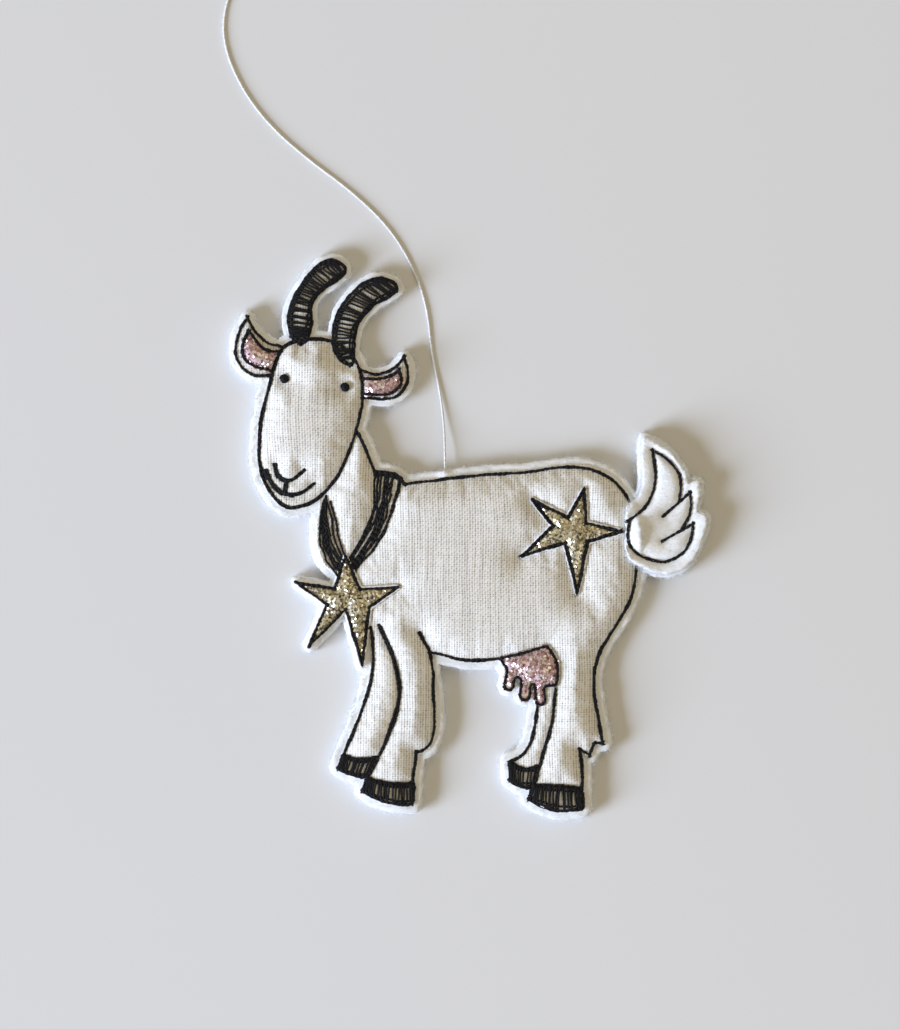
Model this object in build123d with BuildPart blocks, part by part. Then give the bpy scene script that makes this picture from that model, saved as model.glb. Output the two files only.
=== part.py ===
from build123d import *
import os
from math import cos, pi, radians, sin, tan

os.makedirs("parts", exist_ok=True)

# Hanging goat decoration: two felt layers with wadding between them, one piece of
# linen appliqued on the front, glitter-fabric details and black machine stitching.
# It lies face up: X to the goat's tail, Y to its horns, Z out of its front.
# Origin: middle of the outline's box, on the face that the back felt rests on.

# ---- Overall size (mm); the pattern is drawn at drawn_width by drawn_height
drawn_width = 94.0
drawn_height = 111.0
goat_width = 94.0
goat_height = 111.0

# ---- Fabrics
felt_thickness = 1.2
wadding_thickness = 1.0
linen_thickness = 0.45
glitter_thickness = 0.6
tail_felt_thickness = 1.3
felt_margin = 1.75
small_felt_margin = 1.2
linen_margin = 0.45
glitter_margin = 0.55
trimmed_glitter_margin = 0.3
tail_backing_margin = 0.7
wadding_inset = 1.6

# ---- Stitching
stitch_width = 0.8
stitch_height = 0.35
double_stitch_width = 1.15
collar_strand_width = 0.5
collar_strands = 6
eye_radius = 0.95
back_stitch_width = 0.8
back_stitch_depth = 0.4
back_stitch_recess = 0.05

# ---- Hanging thread
thread_diameter = 0.45
bend_share = 0.45
spline_tolerance = 0.005
largest_scrap = 0.3
anchor_depth = 1.9
anchor_knot_radius = 0.45
coil_middle_radius = 2.5
coil_columns = 3
coil_rows = 2
end_knot_radius = 0.6
knot_rise = 0.4

# ---- Levels, counted up from the rest face
wadding_level = felt_thickness
front_felt_level = wadding_level + wadding_thickness
linen_level = front_felt_level + felt_thickness
applique_level = linen_level + linen_thickness
glitter_top_level = applique_level + glitter_thickness
tail_top_level = applique_level + tail_felt_thickness

# ---- The pattern: each outline is a list of stretches that meet at corners,
# ---- and each stretch is a smooth line through its points.
head = [
    [
        (-33.8, 39.3), (-36.4, 38.6), (-39.4, 32.6), (-41.1, 26.2), (-42.1, 18.0),
        (-40.6, 10.4), (-36.2, 6.0), (-31.0, 7.4), (-25.9, 13.2), (-22.9, 20.6),
        (-21.4, 28.1), (-23.0, 35.6), (-27.4, 39.1), (-33.8, 39.3),
    ],
]
horn_left = [
    [
        (-34.1, 38.9), (-36.0, 41.6), (-35.4, 46.9), (-31.4, 52.9), (-27.2, 55.2),
        (-25.0, 53.5), (-28.2, 50.4), (-31.8, 46.2), (-31.9, 41.3), (-34.1, 38.9),
    ],
]
horn_right = [
    [
        (-24.2, 34.6), (-26.9, 37.4), (-26.8, 42.9), (-22.5, 49.6), (-17.4, 51.5),
        (-14.5, 49.8), (-18.2, 47.1), (-22.5, 42.3), (-23.3, 37.4), (-24.2, 34.6),
    ],
]
ear_left_lower = [(-44.4, 43.9), (-46.3, 40.2), (-46.4, 35.4), (-44.0, 32.7), (-39.6, 32.4)]
ear_left_upper = [(-37.1, 38.0), (-39.8, 38.6), (-42.4, 40.6), (-44.4, 43.9)]
ear_left = [ear_left_lower, [(-39.6, 32.4), (-37.1, 38.0)], ear_left_upper]
ear_right_upper = [(-21.9, 33.4), (-18.3, 32.6), (-15.4, 33.6), (-13.2, 36.0)]
ear_right_lower = [(-13.2, 36.0), (-12.4, 31.4), (-14.4, 28.3), (-17.6, 27.6), (-21.4, 27.9)]
ear_right = [ear_right_upper, ear_right_lower, [(-21.4, 27.9), (-21.9, 33.4)]]
inner_ear_left = [
    [(-44.1, 41.1), (-42.2, 38.7), (-40.3, 37.2), (-37.7, 37.3)],
    [(-37.7, 37.3), (-39.4, 33.2)],
    [(-39.4, 33.2), (-42.6, 34.0), (-44.9, 35.6), (-45.2, 38.6), (-44.1, 41.1)],
]
inner_ear_right = [
    [(-21.9, 31.8), (-18.6, 31.6), (-15.7, 32.3), (-14.2, 33.4)],
    [(-14.2, 33.4), (-13.7, 30.6), (-15.9, 28.7), (-18.7, 28.4), (-21.6, 28.7)],
    [(-21.6, 28.7), (-21.9, 31.8)],
]
neck_back = [(-22.6, 21.4), (-20.8, 17.5), (-18.9, 12.9)]
withers = [(-18.9, 12.9), (-14.6, 12.2), (-13.0, 10.6)]
back_to_tail = [
    (-13.0, 10.6), (-5.4, 11.6), (2.0, 12.4), (13.5, 13.3), (20.8, 14.1),
    (26.8, 12.5), (30.4, 9.3), (32.4, 6.1),
]
rump_at_tail = [(32.4, 6.1), (33.9, 1.0), (33.2, -4.7)]
hind_leg_back = [
    (33.2, -4.7), (32.3, -11.2), (28.9, -17.8), (25.6, -23.4), (24.6, -29.4),
    (25.4, -35.4), (26.4, -40.9),
]
hind_fetlock = [(26.4, -40.9), (24.8, -41.0), (23.8, -43.3), (21.8, -42.2)]
hind_pastern = [(21.8, -42.2), (22.4, -46.6), (22.3, -50.3)]
near_hind_hoof_under = [(22.3, -50.3), (22.4, -53.8), (18.1, -54.3), (11.9, -52.0)]
near_hind_hoof_front = [(11.9, -52.0), (12.7, -49.5)]
far_hind_hoof_under = [(12.7, -49.5), (9.6, -49.3), (8.0, -48.2), (8.0, -44.6)]
far_hind_leg_front = [(8.0, -44.6), (10.4, -43.4), (12.6, -38.8), (13.5, -33.6), (13.4, -29.3)]
udder_under = [(13.4, -29.3), (9.0, -27.5), (6.0, -24.1)]
belly = [(6.0, -24.1), (2.1, -24.5), (-2.0, -24.3), (-5.9, -23.3), (-8.1, -22.9)]
foreleg_back = [(-8.1, -22.9), (-7.3, -31.0), (-7.3, -39.2), (-8.1, -41.4), (-10.7, -42.8)]
fore_pastern = [(-10.7, -42.8), (-11.3, -47.6), (-11.5, -53.0)]
near_fore_hoof_under = [(-11.5, -53.0), (-15.9, -52.8), (-21.2, -50.4)]
near_fore_hoof_front = [(-21.2, -50.4), (-20.4, -47.7)]
far_fore_hoof_under = [(-20.4, -47.7), (-23.2, -47.3), (-26.1, -45.9), (-25.3, -43.4)]
far_foreleg_front = [
    (-25.3, -43.4), (-22.2, -36.1), (-19.9, -28.6), (-19.3, -22.6), (-20.2, -16.6),
    (-26.8, -6.8),
]
collar_left_edge = [(-26.8, -6.8), (-29.6, -3.2), (-30.2, 1.4), (-29.4, 8.2)]
body = [
    neck_back, withers, back_to_tail, rump_at_tail, hind_leg_back, hind_fetlock[0:2],
    hind_fetlock[1:3], hind_fetlock[2:4], hind_pastern, near_hind_hoof_under[0:2],
    near_hind_hoof_under[1:4], near_hind_hoof_front, far_hind_hoof_under[0:3],
    far_hind_hoof_under[2:4], far_hind_leg_front, udder_under, belly, foreleg_back,
    fore_pastern, near_fore_hoof_under, near_fore_hoof_front, far_fore_hoof_under[0:3],
    far_fore_hoof_under[2:4], far_foreleg_front, collar_left_edge,
    [(-29.4, 8.2), (-22.6, 21.4)],
]
foreleg_inner_line = [
    (-18.1, -17.6), (-14.9, -25.2), (-14.1, -31.0), (-15.5, -37.2), (-18.2, -43.6),
    (-20.4, -47.7),
]
hind_leg_inner_line = [(17.0, -30.3), (16.4, -36.4), (14.5, -43.2), (12.8, -49.2)]
near_hind_hoof = [
    [(12.7, -49.5), (17.3, -49.6), (22.3, -50.3)], near_hind_hoof_under[0:2],
    near_hind_hoof_under[1:4], near_hind_hoof_front,
]
far_hind_hoof = [
    [(8.0, -44.6), (10.4, -46.1), (13.5, -45.7)], [(13.5, -45.7), (12.7, -49.5)],
    far_hind_hoof_under[0:3], far_hind_hoof_under[2:4],
]
near_fore_hoof = [
    [(-20.4, -47.9), (-15.9, -49.1), (-11.3, -48.9)], [(-11.3, -48.9), (-11.5, -53.0)],
    near_fore_hoof_under, [(-21.2, -50.4), (-20.4, -47.9)],
]
far_fore_hoof = [
    [(-25.3, -43.4), (-22.1, -44.2), (-18.5, -43.7)], [(-18.5, -43.7), (-20.4, -47.7)],
    far_fore_hoof_under[0:3], far_fore_hoof_under[2:4],
]
pendant_star = [
    (-24.8, -3.9), (-21.9, -10.3), (-14.4, -9.9), (-20.1, -13.9), (-21.5, -25.3),
    (-24.8, -14.2), (-32.0, -21.5), (-28.5, -13.4), (-34.5, -9.0), (-27.1, -10.2),
]
flank_star = [
    (22.7, 9.5), (23.1, 2.9), (30.0, 1.2), (23.4, -0.8), (21.3, -10.9),
    (18.9, -1.0), (10.4, -3.7), (16.5, 2.4), (12.4, 7.5), (19.4, 4.0),
]
udder = [
    [(6.0, -24.1), (10.8, -22.9), (15.1, -21.6)], [(15.1, -21.6), (16.6, -23.4), (17.1, -29.4)],
    [(17.1, -29.4), (13.4, -29.3), (9.0, -27.5), (6.0, -24.1)],
]
teat_size = [(7.9, -28.4, 1.7, 4.0, -10), (11.0, -30.2, 1.9, 4.4, -4), (13.9, -31.2, 1.8, 4.3, 4)]
teat_root = 1.8
tail_cut = [
    [(31.0, 5.9), (33.7, 8.6), (34.3, 13.2), (34.5, 20.1)],
    [(34.5, 20.1), (36.4, 19.4), (41.4, 15.2), (43.5, 10.6)],
    [(43.5, 10.6), (45.6, 11.3), (45.7, 8.6), (45.1, 5.0)],
    [(45.1, 5.0), (47.0, 4.3), (46.5, 0.4), (43.8, -4.9), (38.6, -7.1), (34.4, -5.7)],
    [(34.4, -5.7), (31.8, -4.2), (31.0, 0.4), (31.0, 5.9)],
]
tail_plume = [
    [(36.3, 17.4), (36.9, 12.4), (35.3, 6.6), (31.3, 3.3)],
    [(36.3, 17.4), (39.9, 15.1), (42.0, 11.2), (41.6, 7.4)],
    [(43.8, 9.0), (41.3, 6.8), (38.6, 4.3)],
    [(43.8, 9.0), (43.9, 5.2), (42.1, 1.7)],
    [(44.4, 2.8), (42.1, 1.5), (38.4, -0.7)],
    [(44.4, 2.8), (43.4, -1.6), (39.5, -4.7), (34.8, -4.0), (31.7, -1.6), (31.9, 3.4)],
]
nose = [(-38.8, 14.4), (-38.2, 12.2), (-36.3, 11.2), (-34.7, 11.9), (-33.2, 13.4)]
philtrum = [(-36.5, 11.3), (-36.9, 8.9)]
mouth = [(-41.5, 13.8), (-38.9, 10.0), (-36.2, 8.5), (-33.6, 8.8), (-31.3, 10.7)]
eye_left = (-37.0, 31.6)
eye_right = (-24.9, 29.9)
collar_right_inner = [(-18.9, 12.4), (-19.3, 6.2), (-21.4, 0.2), (-24.3, -4.6)]
collar_right_outer = [(-13.9, 11.2), (-15.3, 6.0), (-18.2, -0.9), (-22.9, -6.6)]
collar_left_outer = [(-29.2, 8.0), (-30.0, 2.4), (-29.1, -3.4), (-26.5, -7.2)]
collar_left_inner = [(-28.3, 8.0), (-27.1, 4.4), (-26.2, 0.0), (-24.8, -3.8)]
wadding_trunk = [
    [
        (-31.0, 16.0), (-27.2, 6.0), (-25.2, -4.0), (-18.0, -14.0), (-16.6, -22.0),
        (-10.6, -20.0), (0.0, -21.4), (14.0, -19.6), (22.6, -21.6), (29.4, -11.0),
        (30.0, 4.0), (22.0, 10.6), (6.0, 9.6), (-9.0, 8.2), (-17.6, 6.0),
        (-25.6, 21.0), (-31.0, 16.0),
    ],
]

# ---- The thread's route from the felt's edge, as it lies; not scaled with the goat
thread_route = [
    (-5.0, 13.5, 1.7), (-5.0, 17.3, 1.5), (-5.2, 22.6, 0.7), (-6.0, 29.3, 0.28),
    (-7.7, 37.0, 0.24), (-8.4, 45.2, 0.24), (-10.9, 53.3, 0.24), (-16.0, 61.9, 0.24),
    (-23.6, 69.2, 0.24), (-32.0, 75.3, 0.24), (-40.2, 82.4, 0.24), (-46.2, 90.6, 0.24),
    (-49.5, 99.4, 0.24), (-48.9, 106.8, 0.24), (-46.6, 110.6, 0.24),
]


def place(point):
    """A drawn point at the goat's size."""
    return (point[0] * goat_width / drawn_width, point[1] * goat_height / drawn_height)


def smooth_line(stretch):
    """One stretch of an outline: a straight line, or a smooth one through its points."""
    points = [place(point) for point in stretch]
    if len(points) == 2:
        return Line(*points)
    if points[0] == points[-1]:
        return Spline(*points[:-1], periodic=True)
    return Spline(*points)


def plain_splines(shape):
    """The same flat shape with plain splines for edges, which cut and join cleanly."""
    with BuildSketch() as copy:
        for face in shape.faces():
            add(face.to_splines(tolerance=spline_tolerance))
    return copy.sketch


def grown(shape, margin):
    """A flat shape grown all round by a margin, or cut smaller by a negative one."""
    with BuildSketch() as larger:
        add(shape)
        offset(amount=margin, kind=Kind.ARC)
    return plain_splines(larger.sketch)


def region(stretches, margin=0.0):
    """The closed shape inside an outline, grown all round by a margin."""
    with BuildSketch() as shape:
        with BuildLine():
            for stretch in stretches:
                smooth_line(stretch)
        make_face()
    return grown(shape.sketch, margin) if margin else shape.sketch


def star_region(points, margin):
    """A five-pointed star, grown all round by a margin."""
    with BuildSketch() as shape:
        with BuildLine():
            Polyline(*[place(point) for point in points], close=True)
        make_face()
    return grown(shape.sketch, margin)


def teat_region(size, margin):
    """One teat: a rounded bar, tilted, rooted in the udder, grown all round by a margin."""
    x, y, width, length, tilt = size
    across, up = place((x, y))
    across -= teat_root / 2 * sin(radians(tilt))
    up += teat_root / 2 * cos(radians(tilt))
    whole = length + teat_root + 2 * margin
    with BuildSketch() as shape:
        with Locations((across, up)):
            SlotOverall(whole, width + 2 * margin, rotation=90 + tilt)
    return shape.sketch


def udder_region(margin):
    """The udder and its teats as one shape, grown all round by a margin."""
    return merge([region(udder, margin)] + [teat_region(size, margin) for size in teat_size])


def ribbon(stretches, width):
    """The flat band that a sewn line covers, with round ends."""
    with BuildSketch() as band:
        for stretch in stretches:
            with BuildLine() as line:
                smooth_line(stretch)
            trace(line.edges(), line_width=width)
            for end in (stretch[0], stretch[-1]):
                with Locations(place(end)):
                    Circle(width / 2)
    return band.sketch


def merge(shapes):
    """Several flat shapes as one."""
    with BuildSketch() as whole:
        for shape in shapes:
            add(shape)
    return whole.sketch


def less(shape, others):
    """A flat shape without what the others cover."""
    with BuildSketch() as rest:
        add(shape)
        for other in others:
            add(other, mode=Mode.SUBTRACT)
    return rest.sketch


def without_scraps(shape):
    """A flat shape without the scraps that cutting left of it."""
    with BuildSketch() as kept:
        for face in shape.faces():
            if face.area > largest_scrap:
                add(face)
    return kept.sketch


def between(inner, outer, share):
    """A line a share of the way from one line to another."""
    return [
        (a[0] + share * (b[0] - a[0]), a[1] + share * (b[1] - a[1]))
        for a, b in zip(inner, outer)
    ]


def bend_radii(points):
    """The arc at each corner of a route, as large as its two runs allow."""
    radii = []
    for before, corner, after in zip(points, points[1:], points[2:]):
        arriving = Vector(*corner) - Vector(*before)
        leaving = Vector(*after) - Vector(*corner)
        half_turn = radians(arriving.get_angle(leaving)) / 2
        radii.append(bend_share * min(arriving.length, leaving.length) / tan(half_turn))
    return radii


# ---- Cut shapes that several pieces share
half_stitch = stitch_width / 2
head_cover = region(head, double_stitch_width / 2)
horn_covers = {
    "left": region(horn_left, half_stitch),
    "right": region(horn_right, half_stitch),
}
ear_patches = {
    "left": less(region(inner_ear_left, trimmed_glitter_margin), [head_cover]),
    "right": less(region(inner_ear_right, trimmed_glitter_margin), [head_cover]),
}
ear_outlines = {"left": ear_left, "right": ear_right}
udder_patch = udder_region(trimmed_glitter_margin)
udder_seam = less(udder_region(half_stitch), [udder_region(-half_stitch)])
pendant_patch = star_region(pendant_star, glitter_margin)
flank_patch = star_region(flank_star, glitter_margin)
tail_patch = region(tail_cut)
linen_shape = merge(
    [region(outline, linen_margin) for outline in (body, head, horn_left, horn_right)]
    + [region(outline, linen_margin) for outline in (ear_left, ear_right)]
    + [pendant_patch, udder_patch]
)
felt_shape = merge(
    [region(outline, felt_margin) for outline in (body, head)]
    + [region(outline, small_felt_margin) for outline in (horn_left, horn_right)]
    + [region(outline, small_felt_margin) for outline in (ear_left, ear_right)]
    + [star_region(pendant_star, small_felt_margin), region(udder, felt_margin)]
    + [teat_region(size, small_felt_margin) for size in teat_size]
    + [region(tail_cut, tail_backing_margin)]
)
on_linen = [*ear_patches.values(), udder_patch, pendant_patch, flank_patch, tail_patch]

# ---- The outline sewn through to the back
sewn_through = (body, head, horn_left, horn_right)
half_back_stitch = back_stitch_width / 2
back_seam = less(
    merge([region(outline, half_back_stitch) for outline in sewn_through]),
    [merge([region(outline, -half_back_stitch) for outline in sewn_through])],
)

# ---- Felt, wadding and linen
with BuildPart() as felt_back:
    with BuildSketch():
        add(felt_shape)
    extrude(amount=felt_thickness)
    with BuildSketch():
        add(back_seam)
    extrude(amount=back_stitch_depth, mode=Mode.SUBTRACT)
felt_back.part.label = "felt_back"
export_step(felt_back.part, "parts/felt_back.step")

with BuildPart() as back_stitching:
    with BuildSketch(Plane.XY.offset(back_stitch_recess)):
        add(back_seam)
    extrude(amount=back_stitch_depth - back_stitch_recess)
back_stitching.part.label = "back_stitching"
export_step(back_stitching.part, "parts/back_stitching.step")

with BuildPart() as wadding:
    with BuildSketch(Plane.XY.offset(wadding_level)):
        add(region(wadding_trunk))
        add(region(head, -wadding_inset))
    extrude(amount=wadding_thickness)
wadding.part.label = "wadding"
export_step(wadding.part, "parts/wadding.step")

with BuildPart() as felt_front:
    with BuildSketch(Plane.XY.offset(front_felt_level)):
        add(felt_shape)
    extrude(amount=felt_thickness)
felt_front.part.label = "felt_front"
export_step(felt_front.part, "parts/felt_front.step")

with BuildPart() as linen_goat:
    with BuildSketch(Plane.XY.offset(linen_level)):
        add(linen_shape)
    extrude(amount=linen_thickness)
linen_goat.part.label = "linen_goat"
export_step(linen_goat.part, "parts/linen_goat.step")

with BuildPart() as felt_tail:
    with BuildSketch(Plane.XY.offset(linen_level)):
        add(tail_patch)
    extrude(amount=tail_top_level - linen_level)
    with BuildSketch(Plane.XY.offset(linen_level)):
        add(linen_shape)
    extrude(amount=linen_thickness, mode=Mode.SUBTRACT)
felt_tail.part.label = "felt_tail"
export_step(felt_tail.part, "parts/felt_tail.step")

# ---- Glitter fabric on the linen
patches = {
    "inner_ear_left": ear_patches["left"],
    "inner_ear_right": ear_patches["right"],
    "udder": udder_patch,
    "pendant_star": pendant_patch,
    "flank_star": flank_patch,
}
for name, shape in patches.items():
    with BuildPart() as patch:
        with BuildSketch(Plane.XY.offset(applique_level)):
            add(shape)
        extrude(amount=glitter_thickness)
    patch.part.label = name
    export_step(patch.part, f"parts/{name}.step")

# ---- Stitching on the glitter fabric and on the tail
closed_pendant = pendant_star + pendant_star[:1]
closed_flank = flank_star + flank_star[:1]
raised_seams = {
    "inner_ear_left_stitching": ribbon(inner_ear_left, stitch_width),
    "inner_ear_right_stitching": ribbon(inner_ear_right, stitch_width),
    "udder_stitching": udder_seam,
    "pendant_star_stitching": ribbon(list(zip(closed_pendant, closed_pendant[1:])), stitch_width),
    "flank_star_stitching": ribbon(list(zip(closed_flank, closed_flank[1:])), stitch_width),
}
for name, seam in raised_seams.items():
    with BuildPart() as stitching:
        with BuildSketch(Plane.XY.offset(glitter_top_level)):
            add(less(seam, [head_cover]))
        extrude(amount=stitch_height)
    stitching.part.label = name
    export_step(stitching.part, f"parts/{name}.step")

with BuildPart() as tail_stitching:
    with BuildSketch(Plane.XY.offset(tail_top_level)):
        add(ribbon(tail_plume, stitch_width))
    extrude(amount=stitch_height)
tail_stitching.part.label = "tail_stitching"
export_step(tail_stitching.part, "parts/tail_stitching.step")

# ---- Stitching on the linen: each line stops at what is already sewn
hooves = {
    "near_hind_hoof": near_hind_hoof,
    "far_hind_hoof": far_hind_hoof,
    "near_fore_hoof": near_fore_hoof,
    "far_fore_hoof": far_fore_hoof,
}
collar_lines = [
    between(inner, outer, strand / (collar_strands - 1))
    for inner, outer in (
        (collar_right_inner, collar_right_outer),
        (collar_left_inner, collar_left_outer),
    )
    for strand in range(collar_strands)
]
body_lines = [
    neck_back, withers, back_to_tail, hind_leg_back, hind_fetlock[0:2], hind_fetlock[1:3],
    hind_fetlock[2:4], hind_pastern, far_hind_leg_front, belly, foreleg_back, fore_pastern[:2],
    far_foreleg_front[:-1],
]
eyes = {"eye_left": eye_left, "eye_right": eye_right}
flat_seams = {f"horn_{side}_stitching": cover for side, cover in horn_covers.items()}
flat_seams["head_stitching"] = ribbon(head, double_stitch_width)
for side, outline in ear_outlines.items():
    flat_seams[f"ear_{side}_stitching"] = ribbon(outline, stitch_width)
for name, outline in hooves.items():
    flat_seams[f"{name}_stitching"] = region(outline, half_stitch)
flat_seams["body_stitching"] = ribbon(body_lines, stitch_width)
flat_seams["leg_line_stitching"] = ribbon(
    [foreleg_inner_line, hind_leg_inner_line], double_stitch_width
)
flat_seams["collar_stitching"] = ribbon(collar_lines, collar_strand_width)
flat_seams["nose_mouth_stitching"] = ribbon([nose, philtrum, mouth], stitch_width)
for name, centre in eyes.items():
    with BuildSketch() as eye:
        with Locations(place(centre)):
            Circle(eye_radius)
    flat_seams[name] = eye.sketch

already_sewn = list(on_linen)
for name, seam in flat_seams.items():
    with BuildPart() as stitching:
        with BuildSketch(Plane.XY.offset(applique_level)):
            add(without_scraps(less(seam, already_sewn)))
        extrude(amount=stitch_height)
    stitching.part.label = name
    export_step(stitching.part, f"parts/{name}.step")
    already_sewn.append(seam)

# ---- The hanging thread, from its knot between the felts to its free end
exit_point = Vector(*thread_route[0])
with BuildPart() as thread_anchor:
    with BuildSketch(Plane(origin=exit_point, z_dir=(0, -1, 0))):
        Circle(thread_diameter / 2)
    extrude(amount=anchor_depth)
    with Locations(exit_point - Vector(0, anchor_depth, 0)):
        Sphere(anchor_knot_radius)
thread_anchor.part.label = "thread_anchor"
export_step(thread_anchor.part, "parts/thread_anchor.step")

radii = bend_radii(thread_route)
print("thread bend radii:", [round(radius, 1) for radius in radii])
route_end = Vector(*thread_route[-1])
last_run = (route_end - Vector(*thread_route[-2])).normalized()
coil_outer_turn = coil_middle_radius + (coil_columns - 1) / 2 * thread_diameter
coil_centre = route_end + last_run.rotate(Axis.Z, 90) * coil_outer_turn
coil_half_width = coil_columns * thread_diameter / 2
coil_top = coil_rows * thread_diameter
with BuildPart() as thread_coil:
    with BuildSketch():
        with Locations((coil_centre.X, coil_centre.Y)):
            Circle(coil_middle_radius + coil_half_width)
            Circle(coil_middle_radius - coil_half_width, mode=Mode.SUBTRACT)
    extrude(amount=coil_top)
thread_coil.part.label = "thread_coil"
export_step(thread_coil.part, "parts/thread_coil.step")

with BuildPart() as hanging_thread:
    with BuildLine() as route:
        FilletPolyline(*thread_route, radius=radii)
    with BuildSketch(Plane(origin=route.line @ 0, z_dir=route.line % 0)):
        Circle(thread_diameter / 2)
    sweep(path=route.line)
    add(thread_coil.part, mode=Mode.SUBTRACT)
hanging_thread.part.label = "hanging_thread"
export_step(hanging_thread.part, "parts/hanging_thread.step")
route_length = route.wire().length
tube_volume = pi * thread_diameter**2 / 4 * route_length
print("thread length:", round(route_length, 1))
print("tube volume over section times length:", round(hanging_thread.part.volume / tube_volume, 4))

with BuildPart() as thread_knot:
    with Locations((coil_centre.X - coil_middle_radius, coil_centre.Y, coil_top + knot_rise)):
        Sphere(end_knot_radius)
    split(bisect_by=Plane.XY.offset(coil_top), keep=Keep.TOP)
thread_knot.part.label = "thread_knot"
export_step(thread_knot.part, "parts/thread_knot.step")
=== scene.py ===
from math import atan2, cos, exp, pi, sin

import bmesh
import bpy
import numpy as np
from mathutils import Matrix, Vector, noise
from mathutils.bvhtree import BVHTree
from mathutils.geometry import delaunay_2d_cdt
from mathutils.kdtree import KDTree


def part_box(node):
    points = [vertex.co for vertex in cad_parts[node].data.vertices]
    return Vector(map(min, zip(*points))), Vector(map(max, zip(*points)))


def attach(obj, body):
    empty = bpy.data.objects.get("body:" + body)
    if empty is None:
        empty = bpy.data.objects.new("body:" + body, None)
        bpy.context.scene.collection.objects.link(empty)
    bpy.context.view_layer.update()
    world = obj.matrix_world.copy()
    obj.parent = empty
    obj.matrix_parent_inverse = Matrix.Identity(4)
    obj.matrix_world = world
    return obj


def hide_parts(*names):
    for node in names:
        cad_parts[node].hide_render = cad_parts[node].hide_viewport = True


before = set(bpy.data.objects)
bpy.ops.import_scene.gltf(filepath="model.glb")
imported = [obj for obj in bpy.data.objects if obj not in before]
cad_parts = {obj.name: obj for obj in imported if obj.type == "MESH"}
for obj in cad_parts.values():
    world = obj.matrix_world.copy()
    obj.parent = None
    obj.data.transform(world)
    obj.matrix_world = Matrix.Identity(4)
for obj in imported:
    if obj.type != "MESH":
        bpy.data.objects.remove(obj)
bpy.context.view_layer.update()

MM = 0.001

# ---- Levels of the sewn and padded surfaces, in mm above the table
back_felt_top = 1.15
rim_top = 2.4
edge_seam_level = 2.55
inner_seam_level = 3.15
puff_height = 1.75

# ---- Thicknesses and other small sizes, in mm
felt_thickness = 1.2
linen_thickness = 0.4
patch_thickness = 0.42
tail_thickness = 1.1
air_gap = 0.03
thread_radius = 0.23
eye_thread_radius = 0.24
knot_thread_radius = 0.2
stitch_pitch = 1.05
trimmed_margin = 0.3
half_band = 0.4
seam_reach = 4.5
puff_reach = 3.0
felt_edge = {"edge_rows": 4, "edge_bulge": 0.14}

# ---- The sewn lines, in the goat's own mm: the same lines that the frame's bands follow
head = [
    (-33.8, 39.3), (-36.4, 38.6), (-39.4, 32.6), (-41.1, 26.2), (-42.1, 18.0),
    (-40.6, 10.4), (-36.2, 6.0), (-31.0, 7.4), (-25.9, 13.2), (-22.9, 20.6),
    (-21.4, 28.1), (-23.0, 35.6), (-27.4, 39.1), (-33.8, 39.3),
]
body_lines = [
    [(-22.6, 21.4), (-20.8, 17.5), (-18.9, 12.9)],
    [(-18.9, 12.9), (-14.6, 12.2), (-13.0, 10.6)],
    [
        (-13.0, 10.6), (-5.4, 11.6), (2.0, 12.4), (13.5, 13.3), (20.8, 14.1),
        (26.8, 12.5), (30.4, 9.3), (31.6, 7.4),
    ],
    [
        (33.2, -5.6), (32.3, -11.2), (28.9, -17.8), (25.6, -23.4), (24.6, -29.4),
        (25.4, -35.4), (26.4, -40.9),
    ],
    [(26.4, -40.9), (24.8, -41.0)],
    [(24.8, -41.0), (23.8, -43.3)],
    [(23.8, -43.3), (21.8, -42.2)],
    [(21.8, -42.2), (22.4, -46.6), (22.3, -50.3)],
    [(8.0, -44.6), (10.4, -43.4), (12.6, -38.8), (13.5, -33.6)],
    [(6.0, -24.1), (2.1, -24.5), (-2.0, -24.3), (-5.9, -23.3), (-8.1, -22.9)],
    [(-10.0, -19.1), (-8.1, -22.9), (-7.3, -31.0), (-7.3, -39.2), (-8.1, -41.4), (-10.7, -42.8)],
    [(-10.7, -42.8), (-11.3, -47.6), (-11.5, -53.0)],
    [(-25.3, -43.4), (-22.2, -36.1), (-19.9, -28.6), (-19.3, -22.6), (-19.8, -18.1)],
]
leg_lines = [
    [
        (-18.1, -17.6), (-14.9, -25.2), (-14.1, -31.0), (-15.5, -37.2), (-18.2, -43.6),
        (-20.4, -47.7),
    ],
    [(17.0, -30.3), (16.4, -36.4), (14.5, -43.2), (12.8, -49.2)],
]
ear_lines = {
    "left": [
        [(-39.6, 32.4), (-44.0, 32.7), (-46.4, 35.4), (-46.3, 40.2), (-44.4, 43.9)],
        [(-44.4, 43.9), (-42.4, 40.6), (-39.8, 38.6), (-37.1, 38.0)],
    ],
    "right": [
        [(-21.9, 33.4), (-18.3, 32.6), (-15.4, 33.6), (-13.2, 36.0)],
        [(-13.2, 36.0), (-12.4, 31.4), (-14.4, 28.3), (-17.6, 27.6), (-21.4, 27.9)],
    ],
}
inner_ear_lines = {
    "left": [
        [(-37.9, 37.0), (-40.3, 37.2), (-42.2, 38.7), (-44.1, 41.1)],
        [(-44.1, 41.1), (-45.2, 38.6), (-44.9, 35.6), (-42.6, 34.0), (-39.6, 33.3)],
    ],
    "right": [
        [(-21.2, 31.7), (-18.6, 31.6), (-15.7, 32.3), (-14.2, 33.4)],
        [(-14.2, 33.4), (-13.7, 30.6), (-15.9, 28.7), (-18.7, 28.4), (-21.1, 28.6)],
    ],
}
pendant_star = [
    (-24.8, -3.9), (-21.9, -10.3), (-14.4, -9.9), (-20.1, -13.9), (-21.5, -25.3),
    (-24.8, -14.2), (-32.0, -21.5), (-28.5, -13.4), (-34.5, -9.0), (-27.1, -10.2),
]
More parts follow.
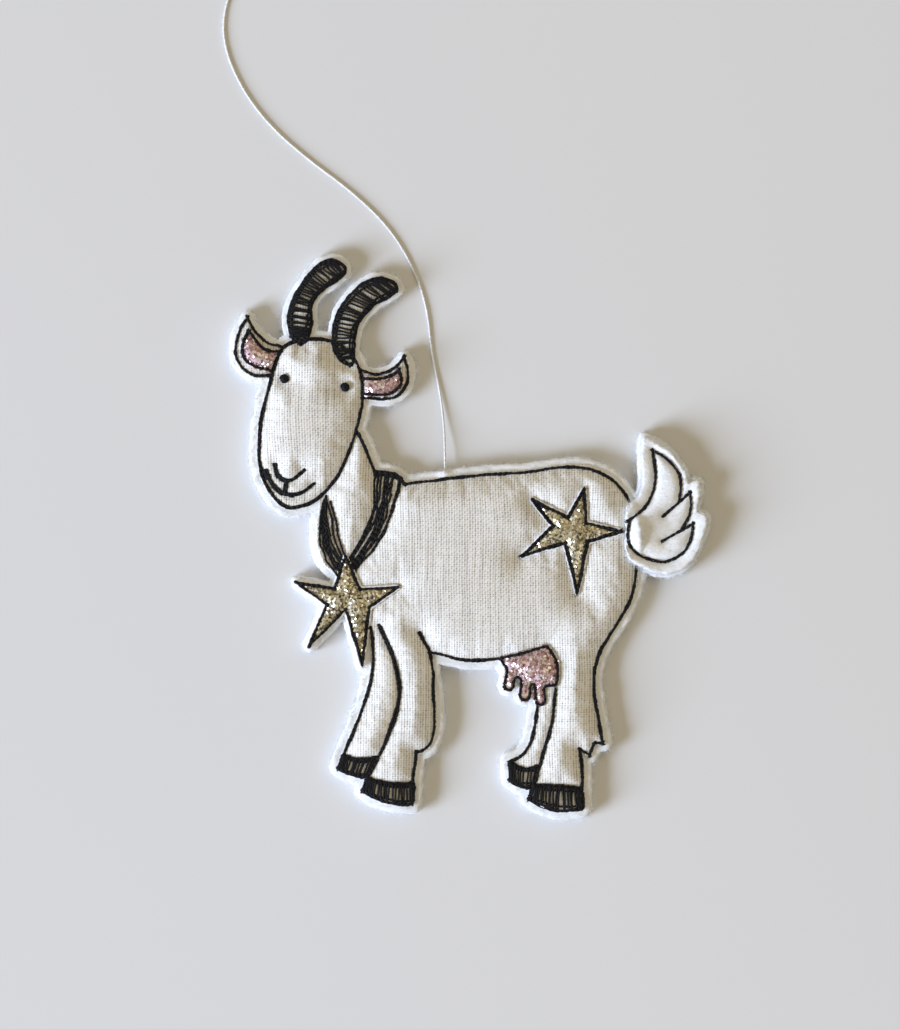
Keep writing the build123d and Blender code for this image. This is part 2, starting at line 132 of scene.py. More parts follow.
flank_star = [
    (22.7, 9.5), (23.1, 2.9), (30.0, 1.2), (23.4, -0.8), (21.3, -10.9),
    (18.9, -1.0), (10.4, -3.7), (16.5, 2.4), (12.4, 7.5), (19.4, 4.0),
]
tail_lines = [
    [(31.3, 3.3), (35.3, 6.6), (36.9, 12.4), (36.3, 17.4)],
    [(36.3, 17.4), (39.9, 15.1), (42.0, 11.2), (41.6, 7.4)],
    [(38.6, 4.3), (41.3, 6.8), (43.8, 9.0)],
    [(43.8, 9.0), (43.9, 5.2), (42.1, 1.7)],
    [(38.4, -0.7), (42.1, 1.5), (44.4, 2.8)],
    [(44.4, 2.8), (43.4, -1.6), (39.5, -4.7), (34.8, -4.0), (31.7, -1.6), (31.9, 3.4)],
]
face_lines = [
    [(-38.8, 14.4), (-38.2, 12.2), (-36.3, 11.2), (-34.7, 11.9), (-33.2, 13.4)],
    [(-36.5, 11.3), (-36.9, 8.9)],
    [(-40.7, 13.2), (-38.9, 10.0), (-36.2, 8.5), (-33.6, 8.8), (-31.3, 10.7)],
]
eyes = {"eye_left": (-37.0, 31.6), "eye_right": (-24.9, 29.9)}
collar_bands = [
    (
        [(-18.9, 12.4), (-19.3, 6.2), (-21.4, 0.2), (-24.3, -4.6)],
        [(-13.9, 11.2), (-15.3, 6.0), (-18.2, -0.9), (-22.9, -6.6)],
    ),
    (
        [(-28.3, 8.0), (-27.1, 4.4), (-26.2, 0.0), (-24.8, -3.8)],
        [(-29.2, 8.0), (-30.0, 2.4), (-29.1, -3.4), (-26.5, -7.2)],
    ),
]
collar_shares = (
    (0.0, 0.1, 0.22, 0.37, 0.46, 0.54, 0.62, 0.73, 0.95, 1.0),
    (0.0, 0.22, 0.42, 0.56, 0.66, 0.75, 0.84, 1.0),
)
horn_sides = {
    "left": (
        [(-35.9, 39.9), (-36.0, 43.4), (-35.3, 47.0), (-33.4, 50.5), (-30.6, 53.7), (-26.9, 55.1)],
        [(-32.6, 39.8), (-31.9, 43.0), (-31.7, 46.1), (-30.1, 48.6), (-27.8, 50.7), (-25.2, 52.6)],
    ),
    "right": (
        [(-26.0, 35.6), (-27.3, 39.6), (-26.7, 43.2), (-24.9, 46.9), (-21.4, 50.3), (-17.0, 51.5)],
        [(-23.3, 35.4), (-23.5, 38.9), (-22.3, 42.5), (-20.6, 45.0), (-18.2, 47.1), (-14.7, 49.3)],
    ),
}
hoof_sides = {
    "near_hind_hoof": (
        [(12.7, -49.6), (17.3, -49.7), (22.3, -50.3)],
        [(11.9, -51.9), (17.6, -54.1), (22.4, -53.8)],
    ),
    "far_hind_hoof": (
        [(8.0, -44.6), (10.4, -46.0), (13.4, -45.7)],
        [(8.1, -48.3), (9.6, -49.3), (12.5, -49.3)],
    ),
    "near_fore_hoof": (
        [(-20.4, -47.9), (-15.9, -49.1), (-11.4, -48.9)],
        [(-21.2, -50.4), (-16.2, -52.7), (-11.5, -53.0)],
    ),
    "far_fore_hoof": (
        [(-25.2, -43.5), (-22.1, -44.2), (-18.6, -43.8)],
        [(-26.0, -45.9), (-23.4, -47.3), (-20.5, -47.6)],
    ),
}

# ---- The thread's route, in mm, as it lies
thread_diameter = 0.45
thread_route = [
    (-5.0, 13.5, 1.7), (-5.0, 17.3, 1.5), (-5.2, 22.6, 0.7), (-6.0, 29.3, 0.28),
    (-7.7, 37.0, 0.24), (-8.4, 45.2, 0.24), (-10.9, 53.3, 0.24), (-16.0, 61.9, 0.24),
    (-23.6, 69.2, 0.24), (-32.0, 75.3, 0.24), (-40.2, 82.4, 0.24), (-46.2, 90.6, 0.24),
    (-49.5, 99.4, 0.24), (-48.9, 106.8, 0.24), (-46.6, 110.6, 0.24),
]


# ------------------------------------------------------------------ lines and outlines
def lengths_along(run):
    """How far along a line each of its points is."""
    return np.concatenate([[0], np.cumsum(np.linalg.norm(np.diff(run, axis=0), axis=1))])


def points_at(run, at, where):
    """The points of a flat line at these lengths along it."""
    return np.column_stack([np.interp(where, at, run[:, i]) for i in range(2)])


def sideways(run):
    """The direction across a line at each of its points."""
    along = np.gradient(run, axis=0)
    along /= np.linalg.norm(along, axis=1)[:, None] + 1e-9
    return np.column_stack([along[:, 1], -along[:, 0]])


def closed(loop):
    """A loop with its first point repeated at its end."""
    return np.vstack([loop, loop[:1]])


def smooth_line(points, step=0.25):
    """A smooth line through a few points, as points a step apart."""
    knots = np.array(points, float)
    if len(knots) == 2:
        count = max(2, int(np.linalg.norm(knots[1] - knots[0]) / step) + 1)
        share = np.linspace(0, 1, count)[:, None]
        return knots[0] + share * (knots[1] - knots[0])
    meets = bool(np.allclose(knots[0], knots[-1]))
    if meets:
        knots = np.vstack([knots[-3:-1], knots, knots[1:3]])
    spans = np.linalg.norm(np.diff(knots, axis=0), axis=1)
    at = lengths_along(knots)
    n = len(knots)
    matrix = np.zeros((n, n))
    right = np.zeros((n, knots.shape[1]))
    matrix[0, 0] = matrix[-1, -1] = 1
    for i in range(1, n - 1):
        matrix[i, i - 1 : i + 2] = spans[i - 1], 2 * (spans[i - 1] + spans[i]), spans[i]
        rise = (knots[i + 1] - knots[i]) / spans[i] - (knots[i] - knots[i - 1]) / spans[i - 1]
        right[i] = 6 * rise
    bend = np.linalg.solve(matrix, right)
    start, end = (at[2], at[-3]) if meets else (0, at[-1])
    where = np.linspace(start, end, max(3, int((end - start) / step) + 1))
    k = np.clip(np.searchsorted(at, where, side="right") - 1, 0, n - 2)
    h = spans[k][:, None]
    a = (at[k + 1] - where)[:, None]
    b = (where - at[k])[:, None]
    line = bend[k] * a**3 / (6 * h) + bend[k + 1] * b**3 / (6 * h)
    line += (knots[k] / h - bend[k] * h / 6) * a + (knots[k + 1] / h - bend[k + 1] * h / 6) * b
    return line


def runs_of(lines):
    return [smooth_line(line) for line in lines]


def straight_lines(corners):
    """A closed run of straight lines, one list of points for each."""
    ends = corners[1:] + corners[:1]
    return [smooth_line([a, b]) for a, b in zip(corners, ends)]


def cut_outlines(node):
    """The loops that bound a CAD node's top face, in mm, the longest first."""
    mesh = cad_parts[node].data
    top = max(v.co.z for v in mesh.vertices)
    key = [tuple(round(c / MM, 3) for c in v.co) for v in mesh.vertices]
    uses = {}
    for face in mesh.polygons:
        if all(abs(mesh.vertices[i].co.z - top) < 1e-6 for i in face.vertices):
            ring = [key[i][:2] for i in face.vertices]
            for a, b in zip(ring, ring[1:] + ring[:1]):
                if a != b:
                    uses[(a, b)] = True
    follow = {a: b for a, b in uses if (b, a) not in uses}
    loops = []
    while follow:
        first = next(iter(follow))
        loop, point = [], first
        while point in follow:
            loop.append(point)
            point = follow.pop(point)
        if len(loop) > 5:
            loops.append(np.array(loop, float))
    return sorted(loops, key=len_of_loop, reverse=True)


def len_of_loop(loop):
    return float(lengths_along(closed(loop))[-1])


def even_loop(loop, step):
    """A closed loop as points a step apart."""
    whole = closed(loop)
    at = lengths_along(whole)
    where = np.linspace(0, at[-1], max(8, int(at[-1] / step)), endpoint=False)
    return points_at(whole, at, where)


def even_run(run, count):
    """An open line as so many points, evenly spaced."""
    at = lengths_along(run)
    return points_at(run, at, np.linspace(0, at[-1], count))


def normals_of_loop(loop):
    """The outward direction at each point of a loop."""
    along = np.roll(loop, -1, axis=0) - np.roll(loop, 1, axis=0)
    along /= np.linalg.norm(along, axis=1)[:, None]
    x, y = loop[:, 0], loop[:, 1]
    turn = np.sign((x * np.roll(y, -1) - y * np.roll(x, -1)).sum())
    return np.column_stack([along[:, 1], -along[:, 0]]) * turn


def shrunk(loop, margin):
    return loop - normals_of_loop(loop) * margin


def lumps(points, size, wavelength, seed):
    """A smooth random height at each point."""
    return np.array(
        [size * noise.noise(Vector((x / wavelength, y / wavelength, seed))) for x, y in points]
    )


def wavy(loop, size, wavelength, seed):
    """A loop whose edge wanders in and out a little, as scissors leave it."""
    return loop + normals_of_loop(loop) * lumps(loop, size, wavelength, seed)[:, None]


def inside(points, loop):
    """Which points lie inside a loop."""
    hit = np.zeros(len(points), bool)
    for (ax, ay), (bx, by) in zip(loop, np.roll(loop, -1, axis=0)):
        if ay == by:
            continue
        cross = (points[:, 1] > ay) != (points[:, 1] > by)
        hit ^= cross & (points[:, 0] < ax + (points[:, 1] - ay) * (bx - ax) / (by - ay))
    return hit


def tree_of(points):
    tree = KDTree(len(points))
    for i, point in enumerate(points):
        tree.insert((point[0], point[1], 0), i)
    tree.balance()
    return tree


def distances(points, tree):
    return np.array([tree.find((p[0], p[1], 0))[2] for p in points])


# ------------------------------------------------------------------ meshes
def new_object(name, data):
    piece = bpy.data.objects.new(name, data)
    bpy.context.scene.collection.objects.link(piece)
    return piece


def smoothed(mesh, smooth=True):
    for face in mesh.polygons:
        face.use_smooth = smooth
    return mesh


def close_mesh(bm, mesh):
    """Turns a mesh's faces outwards and writes it."""
    bmesh.ops.recalc_face_normals(bm, faces=bm.faces)
    bm.to_mesh(mesh)
    bm.free()


def evaluated_mesh(piece):
    """A piece's mesh with its modifiers applied."""
    bpy.context.view_layer.update()
    shown = piece.evaluated_get(bpy.context.evaluated_depsgraph_get())
    return bpy.data.meshes.new_from_object(shown)


def filled(loop, spacing, on_lines=None):
    """Points and triangles that fill a loop, with points on the sewn lines in it."""
    row_height, clear_of_loop, clear_of_lines, line_off_loop = 0.866, 0.55, 0.5, 0.4
    low, high = loop.min(0), loop.max(0)
    rows = np.arange(low[1], high[1], spacing * row_height)
    grid = []
    for j, y in enumerate(rows):
        shift = spacing / 2 if j % 2 else 0
        xs = np.arange(low[0] + shift, high[0], spacing)
        grid.append(np.column_stack([xs, np.full(len(xs), y)]))
    grid = np.vstack(grid)
    grid = grid[inside(grid, loop)]
    loop_tree = tree_of(loop)
    grid = grid[distances(grid, loop_tree) > spacing * clear_of_loop]
    if on_lines is not None:
        kept = on_lines[inside(on_lines, loop)]
        kept = kept[distances(kept, loop_tree) > spacing * line_off_loop]
        grid = grid[distances(grid, tree_of(kept)) > spacing * clear_of_lines]
        grid = np.vstack([grid, kept])
    points = np.vstack([loop, grid])
    bounds = list(range(len(loop)))
    made = delaunay_2d_cdt([Vector(p) for p in points], [], [bounds], 1, 1e-6)
    return np.array([tuple(v) for v in made[0]]), [list(f) for f in made[2]]


def cloth_slab(name, flat, faces, top, bottom, edge_rows=2, edge_bulge=0.0, edge_rough=0.0):
    """A closed piece of cloth: a top, a bottom and a cut edge between them."""
    bm = bmesh.new()
    upper = [bm.verts.new((x * MM, y * MM, z * MM)) for (x, y), z in zip(flat, top)]
    lower = [bm.verts.new((x * MM, y * MM, z * MM)) for (x, y), z in zip(flat, bottom)]
    for face in faces:
        a, b, c = (flat[i] for i in face)
        turn = (b[0] - a[0]) * (c[1] - a[1]) - (b[1] - a[1]) * (c[0] - a[0])
        face = face if turn > 0 else face[::-1]
        bm.faces.new([upper[i] for i in face])
        bm.faces.new([lower[i] for i in reversed(face)])
    bm.verts.index_update()
    half = len(flat)
    rim = {}
    for edge in bm.edges:
        if len(edge.link_faces) == 1:
            i, j = (v.index for v in edge.verts)
            if i < half and j < half:
                loop = edge.link_loops[0]
                rim[loop.vert.index] = loop.link_loop_next.vert.index
    out = {}
    for i, j in rim.items():
        along = np.array(flat[j]) - np.array(flat[i])
        out.setdefault(i, []).append(along)
        out.setdefault(j, []).append(along)
    columns = {}
    for i, ways in out.items():
        way = sum(ways)
        way = np.array([way[1], -way[0]]) / (np.linalg.norm(way) + 1e-9)
        column = [upper[i]]
        for row in range(1, edge_rows):
            share = row / edge_rows
            x, y = flat[i]
            z = top[i] + (bottom[i] - top[i]) * share
            rough = edge_rough * noise.noise(Vector((x * 1.9, y * 1.9, z * 2.5)))
            push = edge_bulge * sin(pi * share) + rough
            column.append(
                bm.verts.new(((x + way[0] * push) * MM, (y + way[1] * push) * MM, z * MM))
            )
        columns[i] = column + [lower[i]]
    for i, j in rim.items():
        for row in range(edge_rows):
            face = bm.faces.new(
                [columns[i][row], columns[i][row + 1], columns[j][row + 1], columns[j][row]]
            )
            face.material_index = 1
    mesh = bpy.data.meshes.new(name)
    close_mesh(bm, mesh)
    return new_object(name, smoothed(mesh))


def surface_of(pieces):
    """What a thread that lies on these pieces rests on."""
    verts, faces = [], []
    for piece in pieces:
        start = len(verts)
        verts += [v.co.copy() for v in piece.data.vertices]
        faces += [[start + i for i in f.vertices] for f in piece.data.polygons]
    return BVHTree.FromPolygons(verts, faces)


def height_on(surface, x, y, default):
    hit = surface.ray_cast(Vector((x * MM, y * MM, 0.02)), Vector((0, 0, -1)))
    return hit[0].z / MM if hit[0] is not None else default


def heights(surface, points, default):
    return np.array([height_on(surface, p[0], p[1], default) for p in points])


# ------------------------------------------------------------------ materials
class Finish:
    """A material being built: short calls that add a node and join its sockets."""

    def __init__(self, name, colour, roughness, sheen=0.0, metallic=0.0):
        self.material = bpy.data.materials.new(name)
        self.material.use_nodes = True
        self.tree = self.material.node_tree
        self.shader = self.tree.nodes["Principled BSDF"]
        self.shader.inputs["Base Color"].default_value = (*colour, 1)
        self.shader.inputs["Roughness"].default_value = roughness
        self.shader.inputs["Sheen Weight"].default_value = sheen
        self.shader.inputs["Metallic"].default_value = metallic
        self.place = self.tree.nodes.new("ShaderNodeTexCoord").outputs["Object"]

    def node(self, kind, **settings):
        made = self.tree.nodes.new(kind)
        for key, value in settings.items():
            setattr(made, key, value)
        return made

    def join(self, source, target):
        self.tree.links.new(source, target)

    def scaled(self, x, y, z):
        mapping = self.node("ShaderNodeMapping")
        mapping.inputs["Scale"].default_value = (x, y, z)
        self.join(self.place, mapping.inputs["Vector"])
        return mapping.outputs["Vector"]

    def math(self, operation, *values):
        made = self.node("ShaderNodeMath", operation=operation)
        for socket, value in zip(made.inputs, values):
            if isinstance(value, (int, float)):
                socket.default_value = value
            else:
                self.join(value, socket)
        return made.outputs[0]

    def noise(self, scale, detail=2.0, vector=None):
        made = self.node("ShaderNodeTexNoise")
        made.inputs["Scale"].default_value = scale
        made.inputs["Detail"].default_value = detail
        self.join(vector if vector is not None else self.place, made.inputs["Vector"])
        return made.outputs["Fac"]

    def ramp(self, factor, stops):
        made = self.node("ShaderNodeValToRGB")
        bar = made.color_ramp
        while len(bar.elements) < len(stops):
            bar.elements.new(0.5)
        for element, (position, colour) in zip(bar.elements, stops):
            element.position = position
            element.color = (*colour, 1)
        self.join(factor, made.inputs["Fac"])
        return made.outputs["Color"]

    def bump(self, height, distance, strength=1.0):
        made = self.node("ShaderNodeBump")
        made.inputs["Distance"].default_value = distance
        made.inputs["Strength"].default_value = strength
        self.join(height, made.inputs["Height"])
        self.join(made.outputs["Normal"], self.shader.inputs["Normal"])

    def colour(self, socket):
        self.join(socket, self.shader.inputs["Base Color"])


def linen_finish():
    """Off-white plain weave: upright warp threads of uneven tone, crossed by the weft."""
    warp_pitch, weft_pitch = 0.53 * MM, 0.444 * MM
    f = Finish("linen_weave", (0.74, 0.71, 0.65), 0.9, sheen=0.15)
    wander = f.noise(70.0, 1.0)
    parts = f.node("ShaderNodeSeparateXYZ")
    f.join(f.place, parts.inputs[0])
    drift = f.math("MULTIPLY", f.math("SUBTRACT", wander, 0.5), 2.2)
    across = f.math("ADD", f.math("DIVIDE", parts.outputs["X"], warp_pitch), drift)
    along = f.math("ADD", f.math("DIVIDE", parts.outputs["Y"], weft_pitch), drift)
    warp = f.math("ABSOLUTE", f.math("SINE", f.math("MULTIPLY", across, pi)))
    weft = f.math("ABSOLUTE", f.math("SINE", f.math("MULTIPLY", along, pi)))
    column, row = f.math("FLOOR", across), f.math("FLOOR", along)
    hole = f.node("ShaderNodeCombineXYZ")
    f.join(f.math("ROUND", across), hole.inputs["X"])
    f.join(f.math("ROUND", along), hole.inputs["Y"])
    chance = f.node("ShaderNodeTexWhiteNoise", noise_dimensions="3D")
    f.join(hole.outputs[0], chance.inputs["Vector"])
    openness = f.math("POWER", chance.outputs["Value"], 2.0)
    between = f.math("MULTIPLY", f.math("SUBTRACT", 1.0, warp), f.math("SUBTRACT", 1.0, weft))
    holes = f.math("MULTIPLY", f.math("MULTIPLY", between, openness), -0.95)
    over = f.math("MODULO", f.math("ABSOLUTE", f.math("ADD", column, row)), 2.0)
    crossing = f.node("ShaderNodeMix", data_type="FLOAT")
    f.join(over, crossing.inputs[0])
    f.join(warp, crossing.inputs[2])
    f.join(weft, crossing.inputs[3])
    lone = f.node("ShaderNodeTexWhiteNoise", noise_dimensions="1D")
    f.join(column, lone.inputs["W"])
    slub = f.noise(1.0, 3.0, f.scaled(1900.0, 95.0, 1.0))
    cross_slub = f.noise(1.0, 2.0, f.scaled(120.0, 2200.0, 1.0))
    tone = f.math("MULTIPLY", f.math("SUBTRACT", lone.outputs["Value"], 0.5), 0.13)
    tone = f.math("ADD", tone, f.math("MULTIPLY", f.math("SUBTRACT", slub, 0.5), 0.85))
    tone = f.math("ADD", tone, f.math("MULTIPLY", f.math("SUBTRACT", cross_slub, 0.5), 0.28))
    gaps = f.math("MULTIPLY", f.math("SUBTRACT", warp, 1.0), 0.32)
    weft_gaps = f.math("MULTIPLY", f.math("SUBTRACT", weft, 1.0), 0.05)
    tone = f.math("ADD", tone, holes)
    shade = f.math("ADD", 0.745, f.math("ADD", tone, f.math("ADD", gaps, weft_gaps)))
    colour = f.ramp(
        shade,
        [
            (0.0, (0.26, 0.225, 0.18)),
            (0.35, (0.55, 0.525, 0.48)),
            (0.62, (0.81, 0.795, 0.755)),
            (1.0, (0.93, 0.925, 0.905)),
        ],
    )
    f.colour(colour)
    relief = f.math("ADD", f.math("MULTIPLY", crossing.outputs[0], 0.6), slub)
    f.bump(relief, 0.07 * MM, 0.7)
    return f.material


def felt_finish():
    """White craft felt: matted fibres in every direction, a little cool in tone."""
    f = Finish("white_felt", (0.86, 0.88, 0.90), 1.0, sheen=0.5)
    fine = f.noise(2600.0, 4.0)
    wisps = f.noise(1.0, 3.0, f.scaled(700.0, 2400.0, 1200.0))
    broad = f.noise(220.0, 2.0)
    height = f.math("ADD", f.math("MULTIPLY", fine, 0.5), f.math("MULTIPLY", wisps, 0.8))
    colour = f.ramp(
        f.math("ADD", f.math("MULTIPLY", fine, 0.5), f.math("MULTIPLY", broad, 0.5)),
        [(0.3, (0.76, 0.78, 0.80)), (0.6, (0.90, 0.91, 0.92))],
    )
    f.colour(colour)
    f.bump(height, 0.16 * MM, 0.7)
    return f.material


def thread_finish(name, colour, roughness, sheen):
    """Twisted sewing thread: the plies show as a fine slanting ridge."""
    f = Finish(name, colour, roughness, sheen=sheen)
    f.shader.inputs["Specular IOR Level"].default_value = 0.25
    grain = f.noise(4200.0, 2.0)
    f.bump(grain, 0.05 * MM, 0.6)
    low = tuple(c * 0.55 for c in colour)
    high = tuple(min(1.0, c * 1.7) for c in colour)
    f.colour(f.ramp(grain, [(0.35, low), (0.65, high)]))
    return f.material


def glitter_base(name, dark, light):
    """The resin-coated fabric under the flakes: grainy, with small dark pits."""
    f = Finish(name, light, 0.45)
    grain = f.noise(2300.0, 3.0)
    f.colour(f.ramp(grain, [(0.38, dark), (0.58, light)]))
    f.bump(grain, 0.12 * MM, 0.9)
    return f.material


def flake_finish(name, stops, roughness):
    """Glitter flakes: each has its own tone, from the value that it carries."""
    f = Finish(name, stops[0][1], roughness, metallic=0.85)
    own = f.node("ShaderNodeAttribute", attribute_name="tone")
    f.colour(f.ramp(own.outputs["Fac"], stops))
    return f.material


def plain_fibre(name, colour, roughness=0.9):
    f = Finish(name, colour, roughness, sheen=0.3)
    grain = f.noise(900.0, 2.0)
    f.colour(f.ramp(grain, [(0.3, tuple(c * 0.9 for c in colour)), (0.7, colour)]))
    return f.material


finishes = {
    "linen": linen_finish(),
    "felt": felt_finish(),
    "fibre": plain_fibre("felt_fibres", (0.90, 0.92, 0.94)),
    "wadding": plain_fibre("wadding_fibres", (0.90, 0.90, 0.88)),
    "black": thread_finish("black_thread", (0.0045, 0.0045, 0.006), 0.7, 0.0),
    "white": thread_finish("white_thread", (0.93, 0.93, 0.92), 0.4, 0.3),
    "gold_base": glitter_base("gold_fabric", (0.035, 0.03, 0.02), (0.56, 0.48, 0.30)),
    "pink_base": glitter_base("pink_fabric", (0.25, 0.125, 0.125), (0.70, 0.49, 0.51)),
    "white_edge": plain_fibre("glitter_fabric_edge", (0.86, 0.86, 0.86)),
    "gold_flakes": flake_finish(
        "gold_flakes",
        [
            (0.0, (0.045, 0.04, 0.03)), (0.22, (0.34, 0.29, 0.18)), (0.5, (0.76, 0.67, 0.43)),
            (0.8, (0.93, 0.88, 0.70)), (0.93, (0.98, 0.98, 0.96)),
        ],
        0.32,
    ),
    "pink_flakes": flake_finish(
        "pink_flakes",
        [
            (0.0, (0.26, 0.125, 0.12)), (0.3, (0.63, 0.41, 0.42)), (0.6, (0.90, 0.74, 0.77)),
            (0.88, (0.98, 0.93, 0.94)),
        ],
        0.35,
    ),
}


def dress(piece, *names, nodes=(), slot=None):
    """Gives a piece its finishes and its body, and hides the CAD nodes it stands for. Its slot is not
    used.

    Clearing the finishes resets each face's place among them, so that is put back.
    """
    faces = [face.material_index for face in getattr(piece.data, "polygons", ())]
    piece.data.materials.clear()
    for name in names:
        piece.data.materials.append(finishes[name])
    if faces:
        piece.data.polygons.foreach_set("material_index", faces)
    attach(piece, "root")
    if nodes:
        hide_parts(*nodes)
    return piece


# ------------------------------------------------------------------ Geometry Nodes
class Growth:
    """A Geometry Nodes tree being built, with named inputs and one geometry result."""

    def __init__(self, name, inputs):
        self.group = bpy.data.node_groups.new(name, "GeometryNodeTree")
        face = self.group.interface
        face.new_socket(name="Geometry", in_out="INPUT", socket_type="NodeSocketGeometry")
        for label, kind in inputs:
            face.new_socket(name=label, in_out="INPUT", socket_type=f"NodeSocket{kind}")
        face.new_socket(name="Geometry", in_out="OUTPUT", socket_type="NodeSocketGeometry")
        self.given = self.group.nodes.new("NodeGroupInput").outputs
        self.result = self.group.nodes.new("NodeGroupOutput").inputs[0]

    def node(self, kind, sockets=(), **settings):
        made = self.group.nodes.new(kind)
        for key, value in settings.items():
            setattr(made, key, value)
        for key, value in dict(sockets).items():
            target = made.inputs[key]
            if isinstance(value, bpy.types.NodeSocket):
                self.group.links.new(value, target)
            else:
                target.default_value = value
        return made

    def spread(self, low, high, seed, kind="FLOAT_VECTOR"):
        """A random value for each item."""
        made = self.node("FunctionNodeRandomValue", data_type=kind)
        at = {"FLOAT_VECTOR": (0, 1), "FLOAT": (2, 3)}[kind]
        for index, value in zip(at, (low, high)):
            if isinstance(value, bpy.types.NodeSocket):
                self.group.links.new(value, made.inputs[index])
            else:
                made.inputs[index].default_value = value
        self.group.links.new(seed, made.inputs["Seed"])
        return made.outputs[0 if kind == "FLOAT_VECTOR" else 1]

    def items_on(self, points, rotation):
        """The item laid on points, each with its own size and turn."""
        item = self.node("GeometryNodeObjectInfo", {"Object": self.given["Item"]})
        size, turn = (
            self.spread(self.given[f"Least {what}"], self.given[f"Most {what}"], self.given["Seed"])
            for what in ("size", "turn")
        )
        laid = self.node(
            "GeometryNodeInstanceOnPoints",
            {
                "Points": points, "Instance": item.outputs["Geometry"],
                "Rotation": rotation, "Scale": size,
            },
        )
        turned = self.node(
            "GeometryNodeRotateInstances", {"Instances": laid.outputs[0], "Rotation": turn}
        )
        return turned.outputs[0]

    def end(self, geometry):
        whole = self.node("GeometryNodeRealizeInstances", {"Geometry": geometry})
        coated = self.node(
            "GeometryNodeSetMaterial",
            {"Geometry": whole.outputs[0], "Material": self.given["Finish"]},
        )
        self.group.links.new(coated.outputs[0], self.result)


item_inputs = [
    ("Item", "Object"), ("Least size", "Vector"), ("Most size", "Vector"),
    ("Least turn", "Vector"), ("Most turn", "Vector"), ("Seed", "Int"), ("Finish", "Material"),
]


def stitch_growth():
    """Short stitches laid end to end along sewn lines."""
    g = Growth("stitches_along_lines", [("Pitch", "Float"), *item_inputs])
    curve = g.node("GeometryNodeMeshToCurve", {"Mesh": g.given["Geometry"]})
    even = g.node(
        "GeometryNodeResampleCurve", {"Curve": curve.outputs[0], "Length": g.given["Pitch"]},
        mode="LENGTH",
    )
    along = g.node(
        "FunctionNodeAlignRotationToVector",
        {"Vector": g.node("GeometryNodeInputTangent").outputs[0]}, axis="X",
    )
    g.end(g.items_on(even.outputs[0], along.outputs[0]))
    return g.group


def strand_growth():
    """One continuous thread that follows a line."""
    g = Growth("thread_along_line", [("Radius", "Float"), ("Sides", "Int"), ("Finish", "Material")])
    curve = g.node("GeometryNodeMeshToCurve", {"Mesh": g.given["Geometry"]})
    section = g.node(
        "GeometryNodeCurvePrimitiveCircle",
        {"Resolution": g.given["Sides"], "Radius": g.given["Radius"]},
    )
    tube = g.node(
        "GeometryNodeCurveToMesh",
        {"Curve": curve.outputs[0], "Profile Curve": section.outputs[0], "Fill Caps": True},
    )
    g.end(tube.outputs[0])
    return g.group


def scatter_growth():
    """Small items strewn over faces, each with its own size, lean and tone."""
    g = Growth("items_over_faces", [("Density", "Float"), *item_inputs])
    strewn = g.node(
        "GeometryNodeDistributePointsOnFaces",
        {"Mesh": g.given["Geometry"], "Density": g.given["Density"], "Seed": g.given["Seed"]},
    )
    toned = g.node(
        "GeometryNodeStoreNamedAttribute",
        {
            "Geometry": g.items_on(strewn.outputs["Points"], strewn.outputs["Rotation"]),
            "Name": "tone", "Value": g.spread(0.0, 1.0, g.given["Seed"], "FLOAT"),
        },
        data_type="FLOAT", domain="INSTANCE",
    )
    g.end(toned.outputs[0])
    return g.group


growths = {
    "stitches": stitch_growth(),
    "strand": strand_growth(),
    "scatter": scatter_growth(),
}


def grown(name, source, growth, values):
    """Runs a tree on a piece's mesh, and returns the result as a plain mesh piece."""
    modifier = source.modifiers.new(growth, "NODES")
    modifier.node_group = growths[growth]
    for item in modifier.node_group.interface.items_tree:
        if item.in_out == "INPUT" and item.name in values:
            modifier[item.identifier] = values[item.name]
    mesh = evaluated_mesh(source)
    mesh.name = name
    source.modifiers.remove(modifier)
    bpy.data.objects.remove(source)
    return new_object(name, smoothed(mesh))


def lines_object(name, lines):
    """Several lines, in mm, as one mesh of edges."""
    verts, edges = [], []
    for line in lines:
        start = len(verts)
        verts += [tuple(c * MM for c in point) for point in line]
        edges += [(start + i, start + i + 1) for i in range(len(line) - 1)]
    mesh = bpy.data.meshes.new(name)
    mesh.from_pydata(verts, edges, [])
    return new_object(name, mesh)


def lofted(name, rings):
    """A closed shape through rings of points."""
    sides = len(rings[0])
    verts = [point for ring in rings for point in ring]
    faces = []
    for i in range(len(rings) - 1):
        for j in range(sides):
            k = (j + 1) % sides
            faces.append((i * sides + j, i * sides + k, (i + 1) * sides + k, (i + 1) * sides + j))
    faces.append(tuple(reversed(range(sides))))
    faces.append(tuple(range((len(rings) - 1) * sides, len(rings) * sides)))
    mesh = bpy.data.meshes.new(name)
    mesh.from_pydata(verts, [], faces)
    bm = bmesh.new()
    bm.from_mesh(mesh)
    close_mesh(bm, mesh)
    piece = new_object(name, mesh)
    piece.hide_render = True
    return piece


def ring(x, radius, sides, lift=0.0):
    turns = [2 * pi * j / sides for j in range(sides)]
    return [(x, radius * cos(t), radius * sin(t) + lift) for t in turns]


